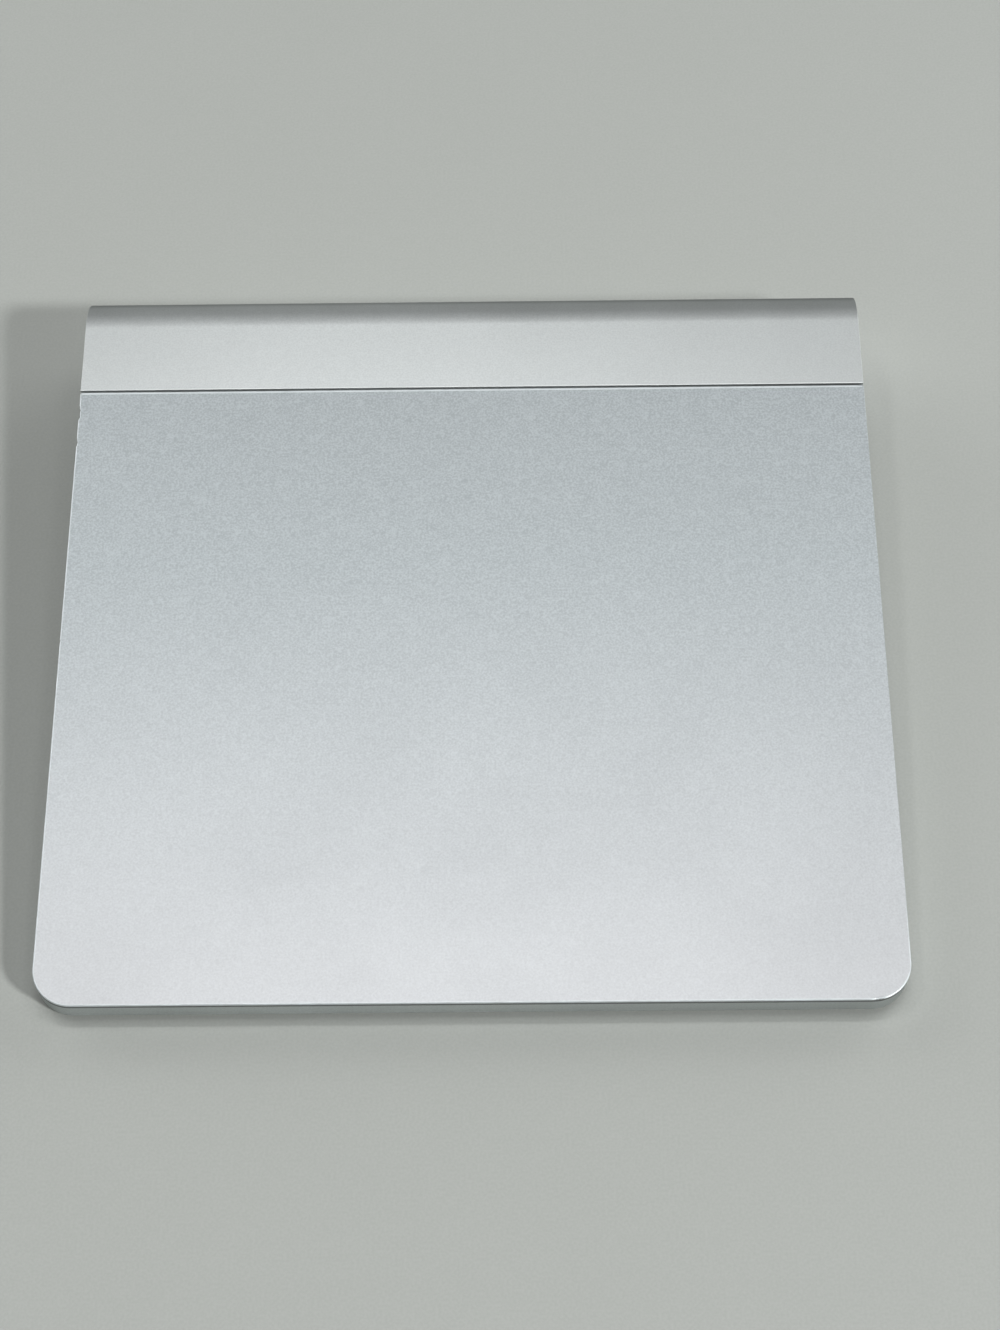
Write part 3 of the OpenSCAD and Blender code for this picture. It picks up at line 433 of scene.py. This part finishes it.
# rounds the sharp edges that the test picks by their middle, and marks the new faces for edge wear
def easeEdges(bm, wanted, width, steps=2, sharper=25):
    edge = bm.loops.layers.float["edge"]
    picked = [e for e in bm.edges if e.is_manifold and e.calc_face_angle() > math.radians(sharper)
              and wanted((e.verts[0].co + e.verts[1].co) / 2)]
    made = bmesh.ops.bevel(bm, geom=picked, offset=width, offset_type="OFFSET", segments=steps, profile=0.5,
                           affect="EDGES", clamp_overlap=True)
    for face in made["faces"]:
        for loop in face.loops:
            loop[edge] = 1.0
    return len(picked)


def finishPiece(bm, name, node, sharper=30):
    mesh = bpy.data.meshes.new(name)
    bm.normal_update()
    bm.to_mesh(mesh)
    bm.free()
    mesh.materials.append(finishes[slotOf[node]])
    mesh.shade_smooth()
    mesh.set_sharp_from_angle(angle=math.radians(sharper))
    piece = bpy.data.objects.new(name, mesh)
    scene.collection.objects.link(piece)
    weight = piece.modifiers.new("faceWeight", "WEIGHTED_NORMAL")
    weight.keep_sharp = True
    return declare(piece, node)


def declare(piece, node):
    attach(piece, nodes[node]["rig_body"])
    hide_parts(node)
    return piece


# enclosure: the machined body with its outer edges eased
shell = {"endEase": 0.22 * mm, "seamEase": 0.16 * mm, "rimEase": 0.14 * mm, "lipReach": 0.5 * mm,
         "seamReach": 0.6 * mm}


def makeShell():
    half = plateBox("enclosure")[1].x
    glassLow, glassHigh = plateBox("touch_glass")
    underside = plateBox("bottom_cover")[0].z
    bm = mergedCopy("enclosure")

    def onEnds(co):
        return abs(abs(co.x) - half) < near

    def onSeam(co):
        at = plateInverse @ co
        return abs(at.z - glassHigh.z) < near and 0 < at.y - glassHigh.y < shell["lipReach"]

    def onRim(co):
        at = plateInverse @ co
        return abs(at.z - underside) < near

    count = (easeEdges(bm, onEnds, shell["endEase"]), easeEdges(bm, onSeam, shell["seamEase"]),
             easeEdges(bm, onRim, shell["rimEase"]))
    # faces down in the seam carry the mark for dirt and painted shade
    recessed = bm.loops.layers.float.new("recess")
    dark = 0
    seamFloor, seamTop = glassLow.z - near, glassHigh.z - shell["seamEase"] * 0.8
    for face in bm.faces:
        at = plateInverse @ face.calc_center_median()
        if abs(at.y - glassHigh.y) < shell["seamReach"] and seamFloor < at.z < seamTop:
            dark += 1
            for loop in face.loops:
                loop[recessed] = 1.0
    print("enclosure edges eased:", count, "faces in the seam:", dark)
    return finishPiece(bm, "enclosureShell", "enclosure")


makeShell()

# touch glass: a rounded plan with an eased rim, chipped in a few places on its left and front edges
glass = {
    "corner": 6.0 * mm, "rearCorner": 0.35 * mm, "ease": 0.2 * mm, "easeSteps": 5, "spacing": 0.3 * mm,
    "seamGap": 0.14 * mm, "rearRim": 0.42 * mm, "keen": 0.3, "sideBand": 1 * mm, "frontBand": 2 * mm,
    "lowerEase": 0.05 * mm, "sideStop": 0.04 * mm, "flatStart": 0.08 * mm, "flatEnd": 0.4 * mm,
    # place up the left edge, half length, depth
    "chips": ((104.3 * mm, 1.1 * mm, 0.26 * mm), (103.2 * mm, 0.5 * mm, 0.2 * mm), (98.2 * mm, 0.8 * mm, 0.2 * mm),
              (61.0 * mm, 0.35 * mm, 0.1 * mm)),
    # place along the front edge, half length, depth
    "frontChips": ((60.4 * mm, 0.9 * mm, 0.16 * mm),),
}


def arcPoints(centre, radius, start, end, count):
    angles = [math.radians(start + (end - start) * i / count) for i in range(count + 1)]
    return [centre + radius * Vector((math.cos(a), math.sin(a))) for a in angles]


# plan of the glass, counter-clockwise from its rear left corner, drawn in by the inset
def glassPlan(half, depth, inset, spacing):
    front, rear = glass["corner"], glass["rearCorner"]
    corners = [(Vector((-half + rear, depth - rear)), rear, 90, 180, 6),
               (Vector((-half + front, front)), front, 180, 270, 40),
               (Vector((half - front, front)), front, 270, 360, 40),
               (Vector((half - rear, depth - rear)), rear, 0, 90, 6)]
    runs = [arcPoints(c, r, s, e, n) for c, r, s, e, n in corners]
    drawn = [arcPoints(c, max(r - inset, 0.01 * mm), s, e, n) for c, r, s, e, n in corners]
    points = []
    for i, run in enumerate(runs):
        following = drawn[(i + 1) % 4][0]
        count = max(1, round((runs[(i + 1) % 4][0] - run[-1]).length / spacing))
        points += drawn[i] + [drawn[i][-1].lerp(following, k / count) for k in range(1, count)]
    return points


# how far an edge point is bitten in by a chip, with an uneven floor
def chipBite(at, half):
    bite = 0.0
    for place, reach, depth in glass["chips"]:
        if at.x < -half + glass["sideBand"] and abs(at.y - place) < reach:
            t = (at.y - place) / reach
            bite = max(bite, depth * (1 - t * t) * (0.75 + 0.25 * math.sin(9 * t + 70 * place / mm)))
    for place, reach, depth in glass["frontChips"]:
        if at.y < glass["frontBand"] and abs(at.x - place) < reach:
            t = (at.x - place) / reach
            bite = max(bite, depth * (1 - t * t) * (0.7 + 0.3 * math.sin(11 * t)))
    return bite


def ramp(value, start, length):
    return min(max((value - start) / length, 0), 1)


# share of the full ease at a point of the outline: less along the seam and up the right side; also how far up the
# right side the point lies, where the rim's painted highlight is taken off
def easeShare(at, half, depth):
    right = ramp(at.x, half - 1.5 * mm, 1.2 * mm) * ramp(at.y, 6 * mm, 14 * mm)
    rear = ramp(at.y, depth - 1.2 * mm, 1.0 * mm)
    return 1 - (1 - glass["keen"]) * max(right, rear), right


def makeGlass():
    low, high = plateBox("touch_glass")
    half, depth, thick = high.x, high.y - low.y - glass["seamGap"], high.z - low.z
    ease, steps = glass["ease"], glass["easeSteps"]
    lower = glass["lowerEase"]
    # inset, level below the top, share of the rim's wear and painted highlight
    loops = [(lower, -thick, 0.0), (0.0, -thick + lower, 0.0), (0.0, -ease - glass["sideStop"], 0.0)]
    for i in range(steps + 1):
        a = math.radians(90 * i / steps)
        loops.append((ease * (1 - math.cos(a)), -ease * (1 - math.sin(a)), 1.0 if i else 0.4))
    loops += [(ease + glass["flatStart"], 0.0, 0.0), (ease + glass["flatEnd"], 0.0, 0.0)]
    bm = bmesh.new()
    edge, side = bm.loops.layers.float.new("edge"), bm.loops.layers.float.new("recess")
    rings, marks = [], {}
    outline = glassPlan(half, depth, 0.0, glass["spacing"])
    for inset, level, mark in loops:
        ring = []
        for start, at in zip(outline, glassPlan(half, depth, inset, glass["spacing"])):
            share, right = easeShare(start, half, depth)
            at = start.lerp(at, share)
            bite = chipBite(at, half) if level > -0.6 * thick else 0.0
            inward = Vector((1, 0)) if at.x < -half + glass["sideBand"] else Vector((0, 1))
            at = at + inward * bite * (1.0 if inset < ease else 0.5)
            height = (level * share if level >= -ease else level) - bite * 0.5 * (inset <= ease)
            ring.append(bm.verts.new(plate @ Vector((at.x, at.y, height))))
            # the rim's painted highlight fades out up the right side
            marks[ring[-1]] = mark * (1 - right)
        rings.append(ring)
    # along the seam the rim is drawn back, with a stronger painted highlight on its edge
    for start, vert, last in zip(outline, rings[-2], rings[-1]):
        if start.y > depth - 0.2 * mm and abs(start.x) < half - 0.2 * mm:
            for moved, back, mark in ((vert, glass["rearRim"] * 0.75, 1.5), (last, glass["rearRim"], 0.0)):
                moved.co = plate @ Vector((start.x, start.y - back, 0.0))
                marks[moved] = mark
    for index, (outer, inner) in enumerate(zip(rings, rings[1:])):
        for i in range(len(outer)):
            k = (i + 1) % len(outer)
            face = bm.faces.new((outer[i], outer[k], inner[k], inner[i]))
            for loop in face.loops:
                loop[edge] = marks[loop.vert]
                # darker cut sides; the rear one, down in the seam, also takes painted shade
                loop[side] = 0.0 if index > 1 else 1.0 if (plateInverse @ loop.vert.co).y > depth - 1 * mm else 0.8
    bm.faces.new(rings[-1])
    bm.faces.new(list(reversed(rings[0])))
    bmesh.ops.recalc_face_normals(bm, faces=bm.faces)
    print("glass rim points:", len(rings[0]))
    return finishPiece(bm, "touchGlass", "touch_glass", 40)


makeGlass()

# underside: the moulded cover and the rubber feet, eased where they face the desk
underside = {"coverEase": 0.16 * mm, "rearFootEase": 0.2 * mm, "frontFootEase": 0.45 * mm}


def makeUnderside():
    coverLow = plateBox("bottom_cover")[0].z
    cover = mergedCopy("bottom_cover")
    easeEdges(cover, lambda co: abs((plateInverse @ co).z - coverLow) < near, underside["coverEase"], 3)
    finishPiece(cover, "bottomCover", "bottom_cover")
    for side in ("left", "right"):
        rear = mergedCopy("rear_foot_" + side)
        easeEdges(rear, lambda co: co.z < near, underside["rearFootEase"], 3)
        finishPiece(rear, "rearFoot" + side.capitalize(), "rear_foot_" + side)
        front = mergedCopy("front_foot_" + side)
        easeEdges(front, lambda co: co.z < near, underside["frontFootEase"], 4)
        finishPiece(front, "frontFoot" + side.capitalize(), "front_foot_" + side)


makeUnderside()
print("underside made")


def makeDome():
    low, high = plateBox("click_dome")
    piece = finishPiece(mergedCopy("click_dome"), "clickDome", "click_dome")
    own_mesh(piece)


makeDome()


# turned pieces in the tube's ends, from half sections of (place along x, radius, length cut off the corner)
def softProfile(corners, steps=4):
    points = []
    for i, (at, radius, cut) in enumerate(corners):
        here = Vector((at, radius))
        if cut == 0:
            points.append(here)
            continue
        before, after = Vector(corners[i - 1][:2]), Vector(corners[(i + 1) % len(corners)][:2])
        start = here + (before - here).normalized() * cut
        end = here + (after - here).normalized() * cut
        for k in range(steps + 1):
            t = k / steps
            points.append(start * (1 - t) ** 2 + here * 2 * t * (1 - t) + end * t * t)
    return points


def lathe(profile, closed=False, count=96):
    bm = bmesh.new()
    bm.loops.layers.float.new("edge")
    rings = []
    for at, radius in profile:
        turns = [2 * math.pi * i / count for i in range(count)] if radius > weldDistance else [0.0]
        rings.append([bm.verts.new((at, axisY + radius * math.cos(a), axisZ + radius * math.sin(a))) for a in turns])
    for first, second in zip(rings, rings[1:] + (rings[:1] if closed else [])):
        for i in range(count):
            k = (i + 1) % count
            corners = [first[i % len(first)], first[k % len(first)], second[k % len(second)], second[i % len(second)]]
            corners = list(dict.fromkeys(corners))
            if len(corners) > 2:
                bm.faces.new(corners)
    bmesh.ops.recalc_face_normals(bm, faces=bm.faces)
    return bm


button = {"radius": 5.8 * mm, "dish": 0.25 * mm, "edge": 0.3 * mm, "flangeRadius": 6.5 * mm, "flangeAt": 1.53 * mm,
          "stemRadius": 1.3 * mm, "stem": 1.8 * mm, "ease": 0.14 * mm}
bezel = {"bore": 5.92 * mm, "lip": 1.5 * mm, "head": 1.17 * mm, "sleeve": 7.47 * mm, "sleeveBore": 6.62 * mm,
         "ease": 0.16 * mm}


def makeButtonEnd():
    low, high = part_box("power_button")
    face, end = high.x, low.x
    dishRadius = button["radius"] - button["edge"]
    ball = (dishRadius ** 2 + button["dish"] ** 2) / (2 * button["dish"])
    dish = []
    for i in range(17):
        radius = dishRadius * i / 16
        dish.append((face - (math.sqrt(ball ** 2 - radius ** 2) - ball + button["dish"]), radius, 0))
    flange = face - button["flangeAt"]
    back = end + button["stem"]
    corners = dish[:-1] + [
        (face, dishRadius, button["ease"] * 0.6), (face - button["edge"], button["radius"], button["ease"]),
        (flange, button["radius"], 0), (flange, button["flangeRadius"], 0.1 * mm),
        (back, button["flangeRadius"], 0.1 * mm), (back, button["stemRadius"], 0),
        (end, button["stemRadius"], 0.1 * mm), (end, 0, 0)]
    finishPiece(lathe(softProfile(corners)), "powerButton", "power_button")
    low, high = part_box("power_bezel")
    face, end, outer = high.x, low.x, high.z - axisZ
    corners = [(face, bezel["bore"], bezel["ease"]), (face, outer, bezel["ease"]),
               (face - bezel["head"], outer, 0.08 * mm), (face - bezel["head"], bezel["sleeve"], 0),
               (end, bezel["sleeve"], 0.1 * mm),
               (end, bezel["sleeveBore"], 0.1 * mm), (face - bezel["lip"], bezel["sleeveBore"], 0),
               (face - bezel["lip"], bezel["bore"], 0.06 * mm)]
    finishPiece(lathe(softProfile(corners), True), "powerBezel", "power_bezel")


makeButtonEnd()
print("button end made")


# geometry node helpers
def newTree(name, inputs):
    tree = bpy.data.node_groups.new(name, "GeometryNodeTree")
    tree.interface.new_socket("Geometry", in_out="INPUT", socket_type="NodeSocketGeometry")
    for label, (kind, value) in inputs.items():
        socket = tree.interface.new_socket(label, in_out="INPUT", socket_type="NodeSocket" + kind)
        if value is not None:
            socket.default_value = value
    tree.interface.new_socket("Geometry", in_out="OUTPUT", socket_type="NodeSocketGeometry")
    return tree, tree.nodes.new("NodeGroupInput").outputs, tree.nodes.new("NodeGroupOutput").inputs


# runs a tree on a mesh and gives back its result as a plain mesh
def grow(tree, name, start, values):
    holder = bpy.data.objects.new(name + "Start", start)
    scene.collection.objects.link(holder)
    modifier = holder.modifiers.new(name, "NODES")
    modifier.node_group = tree
    for item in tree.interface.items_tree:
        if item.in_out == "INPUT" and item.name in values:
            modifier[item.identifier] = values[item.name]
    ready = holder.evaluated_get(bpy.context.evaluated_depsgraph_get())
    mesh = bpy.data.meshes.new_from_object(ready)
    holder.modifiers.remove(modifier)
    bpy.data.objects.remove(holder)
    mesh.name = name
    return mesh


# a round wire or thread wound about z, with its first and last turns lying flat
def makeCoilTree():
    tree, given, out = newTree("coil", {
        "Turns": ("Float", 6.0), "Wide Radius": ("Float", 0.0048), "Tip Radius": ("Float", 0.0026),
        "Length": ("Float", 0.01), "Wire Radius": ("Float", 0.0004), "Flat Share": ("Float", 0.15),
        "Steps": ("Int", 48), "Sides": ("Int", 12), "Finish": ("Material", None)})
    spiral = addNode(tree, "GeometryNodeCurveSpiral", {
        "Resolution": given["Steps"], "Rotations": given["Turns"], "Start Radius": given["Wide Radius"],
        "End Radius": given["Tip Radius"], "Height": 0.0})
    along = addNode(tree, "GeometryNodeSplineParameter").outputs["Factor"]
    flatAgain = calc(tree, "SUBTRACT", 1.0, given["Flat Share"])
    rise = remap(tree, along, given["Flat Share"], flatAgain, 0.0, given["Length"])
    lift = addNode(tree, "ShaderNodeCombineXYZ", {"Z": rise})
    bent = addNode(tree, "GeometryNodeSetPosition", {"Geometry": spiral.outputs[0], "Offset": lift.outputs[0]})
    ring = addNode(tree, "GeometryNodeCurvePrimitiveCircle", {"Resolution": given["Sides"],
                                                              "Radius": given["Wire Radius"]})
    wire = addNode(tree, "GeometryNodeCurveToMesh", {"Curve": bent.outputs[0], "Profile Curve": ring.outputs[0],
                                                     "Fill Caps": True})
    smooth = addNode(tree, "GeometryNodeSetShadeSmooth", {"Geometry": wire.outputs[0]})
    real = addNode(tree, "GeometryNodeRealizeInstances", {"Geometry": smooth.outputs[0]})
    done = addNode(tree, "GeometryNodeSetMaterial", {"Geometry": real.outputs[0], "Material": given["Finish"]})
    feed(tree, out["Geometry"], done.outputs[0])
    return tree


coilTree = makeCoilTree()
alongTube = Matrix.Translation((0, axisY, axisZ)) @ Matrix.Rotation(math.radians(90), 4, "Y")

# contact spring in the cap's cup, wide at the cap and narrow at the cell
spring = {"turns": 6.0, "wire": 0.4 * mm, "tipRadius": 2.6 * mm}


def makeSpring():
    low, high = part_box("negative_spring")
    wide = (high.y - low.y) / 2 - spring["wire"]
    mesh = grow(coilTree, "contactSpring", bpy.data.meshes.new("springStart"), {
        "Turns": spring["turns"], "Wide Radius": wide, "Tip Radius": spring["tipRadius"],
        "Length": high.x - low.x - 2 * spring["wire"], "Wire Radius": spring["wire"], "Flat Share": 0.14,
        "Finish": finishes["spring_steel"]})
    mesh.transform(Matrix.Translation((low.x + spring["wire"], 0, 0)) @ alongTube)
    piece = bpy.data.objects.new("contactSpring", mesh)
    scene.collection.objects.link(piece)
    return declare(piece, "negative_spring")


makeSpring()

# battery cap: a turned head with a coin slot, a threaded plug behind it and a cup for the spring
cap = {"edge": 0.3 * mm, "head": 1.17 * mm, "plug": 7.44 * mm, "root": 7.12 * mm, "cup": 6.2 * mm,
       "cupDepth": 3.0 * mm, "slotWidth": 2.0 * mm, "slotDepth": 1.8 * mm, "coinRadius": 12.0 * mm,
       "slotEase": 0.12 * mm, "lead": 3.0 * mm, "ridge": 0.46 * mm, "threadGap": 0.45 * mm, "ease": 0.12 * mm}


def makeCap():
    face, end, outer = capLow.x, capHigh.x, capHigh.z - axisZ
    neck = face + cap["head"]
    corners = [(face, 0, 0), (face, outer - cap["edge"], cap["ease"]), (face + cap["edge"], outer, cap["ease"]),
               (neck, outer, 0.08 * mm), (neck, cap["root"], 0.1 * mm), (end, cap["root"], 0.15 * mm),
               (end, cap["cup"], 0.12 * mm), (end - cap["cupDepth"], cap["cup"], 0), (end - cap["cupDepth"], 0, 0)]
    bm = lathe(softProfile(corners))
    coin = bmesh.new()
    across = Matrix.Translation((face + cap["slotDepth"] - cap["coinRadius"], axisY, axisZ))
    bmesh.ops.create_cone(coin, cap_ends=True, segments=160, radius1=cap["coinRadius"], radius2=cap["coinRadius"],
                          depth=cap["slotWidth"], matrix=across)
    cut = bpy.data.meshes.new("coin")
    coin.to_mesh(cut)
    coin.free()
    blank = bpy.data.meshes.new("capBlank")
    bm.to_mesh(blank)
    bm.free()
    cutter, body = bpy.data.objects.new("coin", cut), bpy.data.objects.new("capBlank", blank)
    for obj in (cutter, body):
        scene.collection.objects.link(obj)
    slot = body.modifiers.new("slot", "BOOLEAN")
    slot.operation, slot.object, slot.solver = "DIFFERENCE", cutter, "EXACT"
    slotted = bpy.data.meshes.new_from_object(body.evaluated_get(bpy.context.evaluated_depsgraph_get()))
    for obj in (cutter, body):
        bpy.data.objects.remove(obj)
    bm = bmesh.new()
    bm.from_mesh(slotted)
    if "edge" not in bm.loops.layers.float:
        bm.loops.layers.float.new("edge")
    bmesh.ops.remove_doubles(bm, verts=bm.verts, dist=weldDistance)
    bmesh.ops.dissolve_limit(bm, angle_limit=flatAngle, verts=bm.verts, edges=bm.edges)
    lip = cap["slotWidth"] / 2 + near
    count = easeEdges(bm, lambda co: co.x < face + near and abs(co.z - axisZ) < lip, cap["slotEase"], 3)
    room = end - neck - 2 * (cap["ridge"] + cap["threadGap"])
    reach = cap["plug"] - cap["ridge"] - 0.01 * mm
    thread = grow(coilTree, "capThread", bpy.data.meshes.new("threadStart"), {
        "Turns": room / cap["lead"], "Wide Radius": reach, "Tip Radius": reach, "Length": room,
        "Wire Radius": cap["ridge"], "Flat Share": 0.0, "Steps": 96, "Sides": 6,
        "Finish": finishes["turned_aluminium"]})
    thread.transform(Matrix.Translation((neck + cap["ridge"] + cap["threadGap"], 0, 0)) @ alongTube)
    bm.from_mesh(thread)
    print("coin slot edges eased:", count)
    return finishPiece(bm, "batteryCap", "battery_cap")


makeCap()


# screws: one cross-slotted screw, set on a point for each of the solid's screws
def makeScrewTree():
    tree, given, out = newTree("screws", {
        "Head Radius": ("Float", 0.0013), "Head Height": ("Float", 0.00045), "Shank Radius": ("Float", 0.0007),
        "Shank Length": ("Float", 0.001), "Slot Width": ("Float", 0.0004), "Tilt": ("Rotation", None),
        "Finish": ("Material", None)})
    head = addNode(tree, "GeometryNodeMeshCylinder", {"Vertices": 40, "Radius": given["Head Radius"],
                                                      "Depth": given["Head Height"]})
    half = calc(tree, "MULTIPLY", given["Head Height"], 0.5)
    lift = addNode(tree, "ShaderNodeCombineXYZ", {"Z": half})
    headUp = addNode(tree, "GeometryNodeTransform", {"Geometry": head.outputs[0], "Translation": lift.outputs[0]})
    long = calc(tree, "MULTIPLY", given["Head Radius"], 1.3)
    slots = []
    for first, second in (("X", "Y"), ("Y", "X")):
        size = addNode(tree, "ShaderNodeCombineXYZ", {first: long, second: given["Slot Width"],
                                                      "Z": given["Head Height"]})
        slots.append(addNode(tree, "GeometryNodeMeshCube", {"Size": size.outputs[0]}).outputs[0])
    cross = addNode(tree, "GeometryNodeMeshBoolean", {"Mesh 1": headUp.outputs[0]}, operation="DIFFERENCE")
    for slot in slots:
        tree.links.new(slot, cross.inputs["Mesh 2"])
    shank = addNode(tree, "GeometryNodeMeshCylinder", {"Vertices": 32, "Radius": given["Shank Radius"],
                                                       "Depth": given["Shank Length"]})
    rise = calc(tree, "ADD", given["Head Height"], calc(tree, "MULTIPLY", given["Shank Length"], 0.5))
    above = addNode(tree, "ShaderNodeCombineXYZ", {"Z": rise})
    shankUp = addNode(tree, "GeometryNodeTransform", {"Geometry": shank.outputs[0], "Translation": above.outputs[0]})
    whole = addNode(tree, "GeometryNodeJoinGeometry")
    for piece in (cross, shankUp):
        tree.links.new(piece.outputs[0], whole.inputs[0])
    points = addNode(tree, "GeometryNodeMeshToPoints", {"Mesh": given["Geometry"]})
    each = addNode(tree, "GeometryNodeInstanceOnPoints", {"Points": points.outputs[0], "Instance": whole.outputs[0],
                                                          "Rotation": given["Tilt"]})
    real = addNode(tree, "GeometryNodeRealizeInstances", {"Geometry": each.outputs[0]})
    done = addNode(tree, "GeometryNodeSetMaterial", {"Geometry": real.outputs[0], "Material": given["Finish"]})
    feed(tree, out["Geometry"], done.outputs[0])
    return tree


screwTree = makeScrewTree()
screw = {"headRadius": 1.3 * mm, "headHeight": 0.45 * mm, "shankRadius": 0.68 * mm, "slotWidth": 0.4 * mm}


# middle of each separate shell of a solid, along the touch surface's axes
def shellMiddles(name):
    bm = bmesh.new()
    bm.from_mesh(nodes[name].data)
    bmesh.ops.remove_doubles(bm, verts=bm.verts, dist=weldDistance)
    left, middles = set(bm.verts), []
    while left:
        found, queue = set(), [left.pop()]
        while queue:
            vert = queue.pop()
            found.add(vert)
            beside = [e.other_vert(vert) for e in vert.link_edges]
            queue += [v for v in beside if v in left]
            left.difference_update(beside)
        seen = [plateInverse @ v.co for v in found]
        middles.append(Vector([(min(p[i] for p in seen) + max(p[i] for p in seen)) / 2 for i in range(3)]))
    bm.free()
    return middles


def makeScrews(node, name):
    low, high = plateBox(node)
    start = bpy.data.meshes.new(name + "Start")
    start.from_pydata([plate @ Vector((m.x, m.y, low.z)) for m in shellMiddles(node)], [], [])
    mesh = grow(screwTree, name, start, {
        "Head Radius": screw["headRadius"], "Head Height": screw["headHeight"], "Shank Radius": screw["shankRadius"],
        "Shank Length": high.z - low.z - screw["headHeight"], "Slot Width": screw["slotWidth"],
        "Tilt": plate.to_euler(), "Finish": finishes["screw_steel"]})
    piece = bpy.data.objects.new(name, mesh)
    scene.collection.objects.link(piece)
    return declare(piece, node)


makeScrews("board_screws", "boardScrews")
makeScrews("bearing_screws", "bearingScrews")
print("spring, cap and screws made")

# inner solids keep their shapes, with a small bevel that catches the light
inner = {
    "ease": 0.05 * mm, "steps": 2, "sharper": 40,
    "nodes": ("logic_chips", "touch_chips", "radio_shield", "board_connectors", "power_switch", "contact_carrier",
              "bar_bearing_left", "bar_bearing_right", "spring_plate", "foot_plunger_left", "foot_plunger_right",
              "click_bar", "status_light"),
}
for name in inner["nodes"]:
    weld = nodes[name].modifiers.new("weld", "WELD")
    weld.merge_threshold = weldDistance
    ease = nodes[name].modifiers.new("ease", "BEVEL")
    ease.width, ease.segments = inner["ease"], inner["steps"]
    ease.limit_method, ease.angle_limit = "ANGLE", math.radians(inner["sharper"])

# floor: a plain pale table top
floor = {"size": 3.0, "low": (0.425, 0.445, 0.42), "high": (0.455, 0.475, 0.45)}


def makeFloor():
    mesh = bpy.data.meshes.new("tableTop")
    side = floor["size"] / 2
    mesh.from_pydata([(-side, -side, 0), (side, -side, 0), (side, side, 0), (-side, side, 0)], [], [(0, 1, 2, 3)])
    mesh.materials.append(grainFinish("tableFinish", floor["low"], floor["high"], 2400.0, 0.0, (0.55, 0.62), 0.01))
    top = bpy.data.objects.new("tableTop", mesh)
    scene.collection.objects.link(top)


makeFloor()

# world: dim all round, with a pale band above the horizon that only the eye and reflections see
sky = {"dim": (0.09, 0.091, 0.09), "band": (0.42, 0.44, 0.415), "bandTop": 0.10, "bandEnd": 0.24}


def makeSky():
    world = bpy.data.worlds.new("room")
    scene.world = world
    world.use_nodes = True
    tree = world.node_tree
    place = addNode(tree, "ShaderNodeTexCoord").outputs["Generated"]
    height = addNode(tree, "ShaderNodeSeparateXYZ", {"Vector": place}).outputs[2]
    band = remap(tree, height, sky["bandTop"], sky["bandEnd"], 1.0, 0.0)
    ray = addNode(tree, "ShaderNodeLightPath").outputs
    seen = calc(tree, "ADD", ray["Is Camera Ray"], ray["Is Glossy Ray"])
    seen = calc(tree, "ADD", seen, ray["Is Transmission Ray"])
    shown = calc(tree, "MULTIPLY", band, calc(tree, "MINIMUM", seen, 1.0))
    colour = mixColour(tree, shown, (*sky["dim"], 1), (*sky["band"], 1))
    feed(tree, tree.nodes["Background"].inputs["Color"], colour)


makeSky()

# lamps: a key from the front right, a panel and a row of strips overhead, and two broad panels low behind
lamps = {
    "keyPanel": {"at": (1.47, -1.19, 1.42), "size": (0.22, 0.22), "power": 35.0},
    "topPanel": {"at": (0.0, -0.09, 1.30), "size": (0.50, 0.12), "power": 0.9},
    "stripLeft": {"at": (-0.48, 0.195, 1.28), "size": (0.42, 0.05), "power": 1.7},
    "stripMiddle": {"at": (0.0, 0.20, 1.30), "size": (0.50, 0.05), "power": 2.42},
    "stripRight": {"at": (0.44, 0.20, 1.30), "size": (0.45, 0.05), "power": 0.8},
    "backLeft": {"at": (-1.5, 1.2, 0.7), "size": (1.6, 1.2), "power": 13.9},
    "backRight": {"at": (1.5, 1.2, 0.7), "size": (1.6, 1.2), "power": 15.3},
}
for name, lamp in lamps.items():
    data = bpy.data.lights.new(name, "AREA")
    data.shape, data.energy = "RECTANGLE", lamp["power"]
    data.size, data.size_y = lamp["size"]
    panel = bpy.data.objects.new(name, data)
    panel.location = lamp["at"]
    panel.rotation_euler = (-Vector(lamp["at"])).to_track_quat("-Z", "Y").to_euler()
    scene.collection.objects.link(panel)

# camera, fitted to the photograph in the touch surface's own frame
camera = {"turns": (-0.466383, -0.0079481, 0.0091804), "shift": (-4.2769 * mm, -50.1048 * mm, -370.4598 * mm),
          "focalPixels": 2500.0, "imageHeight": 1330.0, "sensor": 36.0}


def makeCamera():
    x, y, z = camera["turns"]
    turn = Matrix.Rotation(z, 4, "Z") @ Matrix.Rotation(y, 4, "Y") @ Matrix.Rotation(x, 4, "X")
    data = bpy.data.cameras.new("photoCamera")
    data.sensor_width = camera["sensor"]
    data.lens = camera["focalPixels"] * camera["sensor"] / camera["imageHeight"]
    data.clip_start = 0.01
    eye = bpy.data.objects.new("photoCamera", data)
    eye.matrix_world = plate @ (Matrix.Translation(camera["shift"]) @ turn).inverted()
    scene.collection.objects.link(eye)
    scene.camera = eye


makeCamera()
scene.view_settings.view_transform = "Standard"
print("floor, lights and camera made")
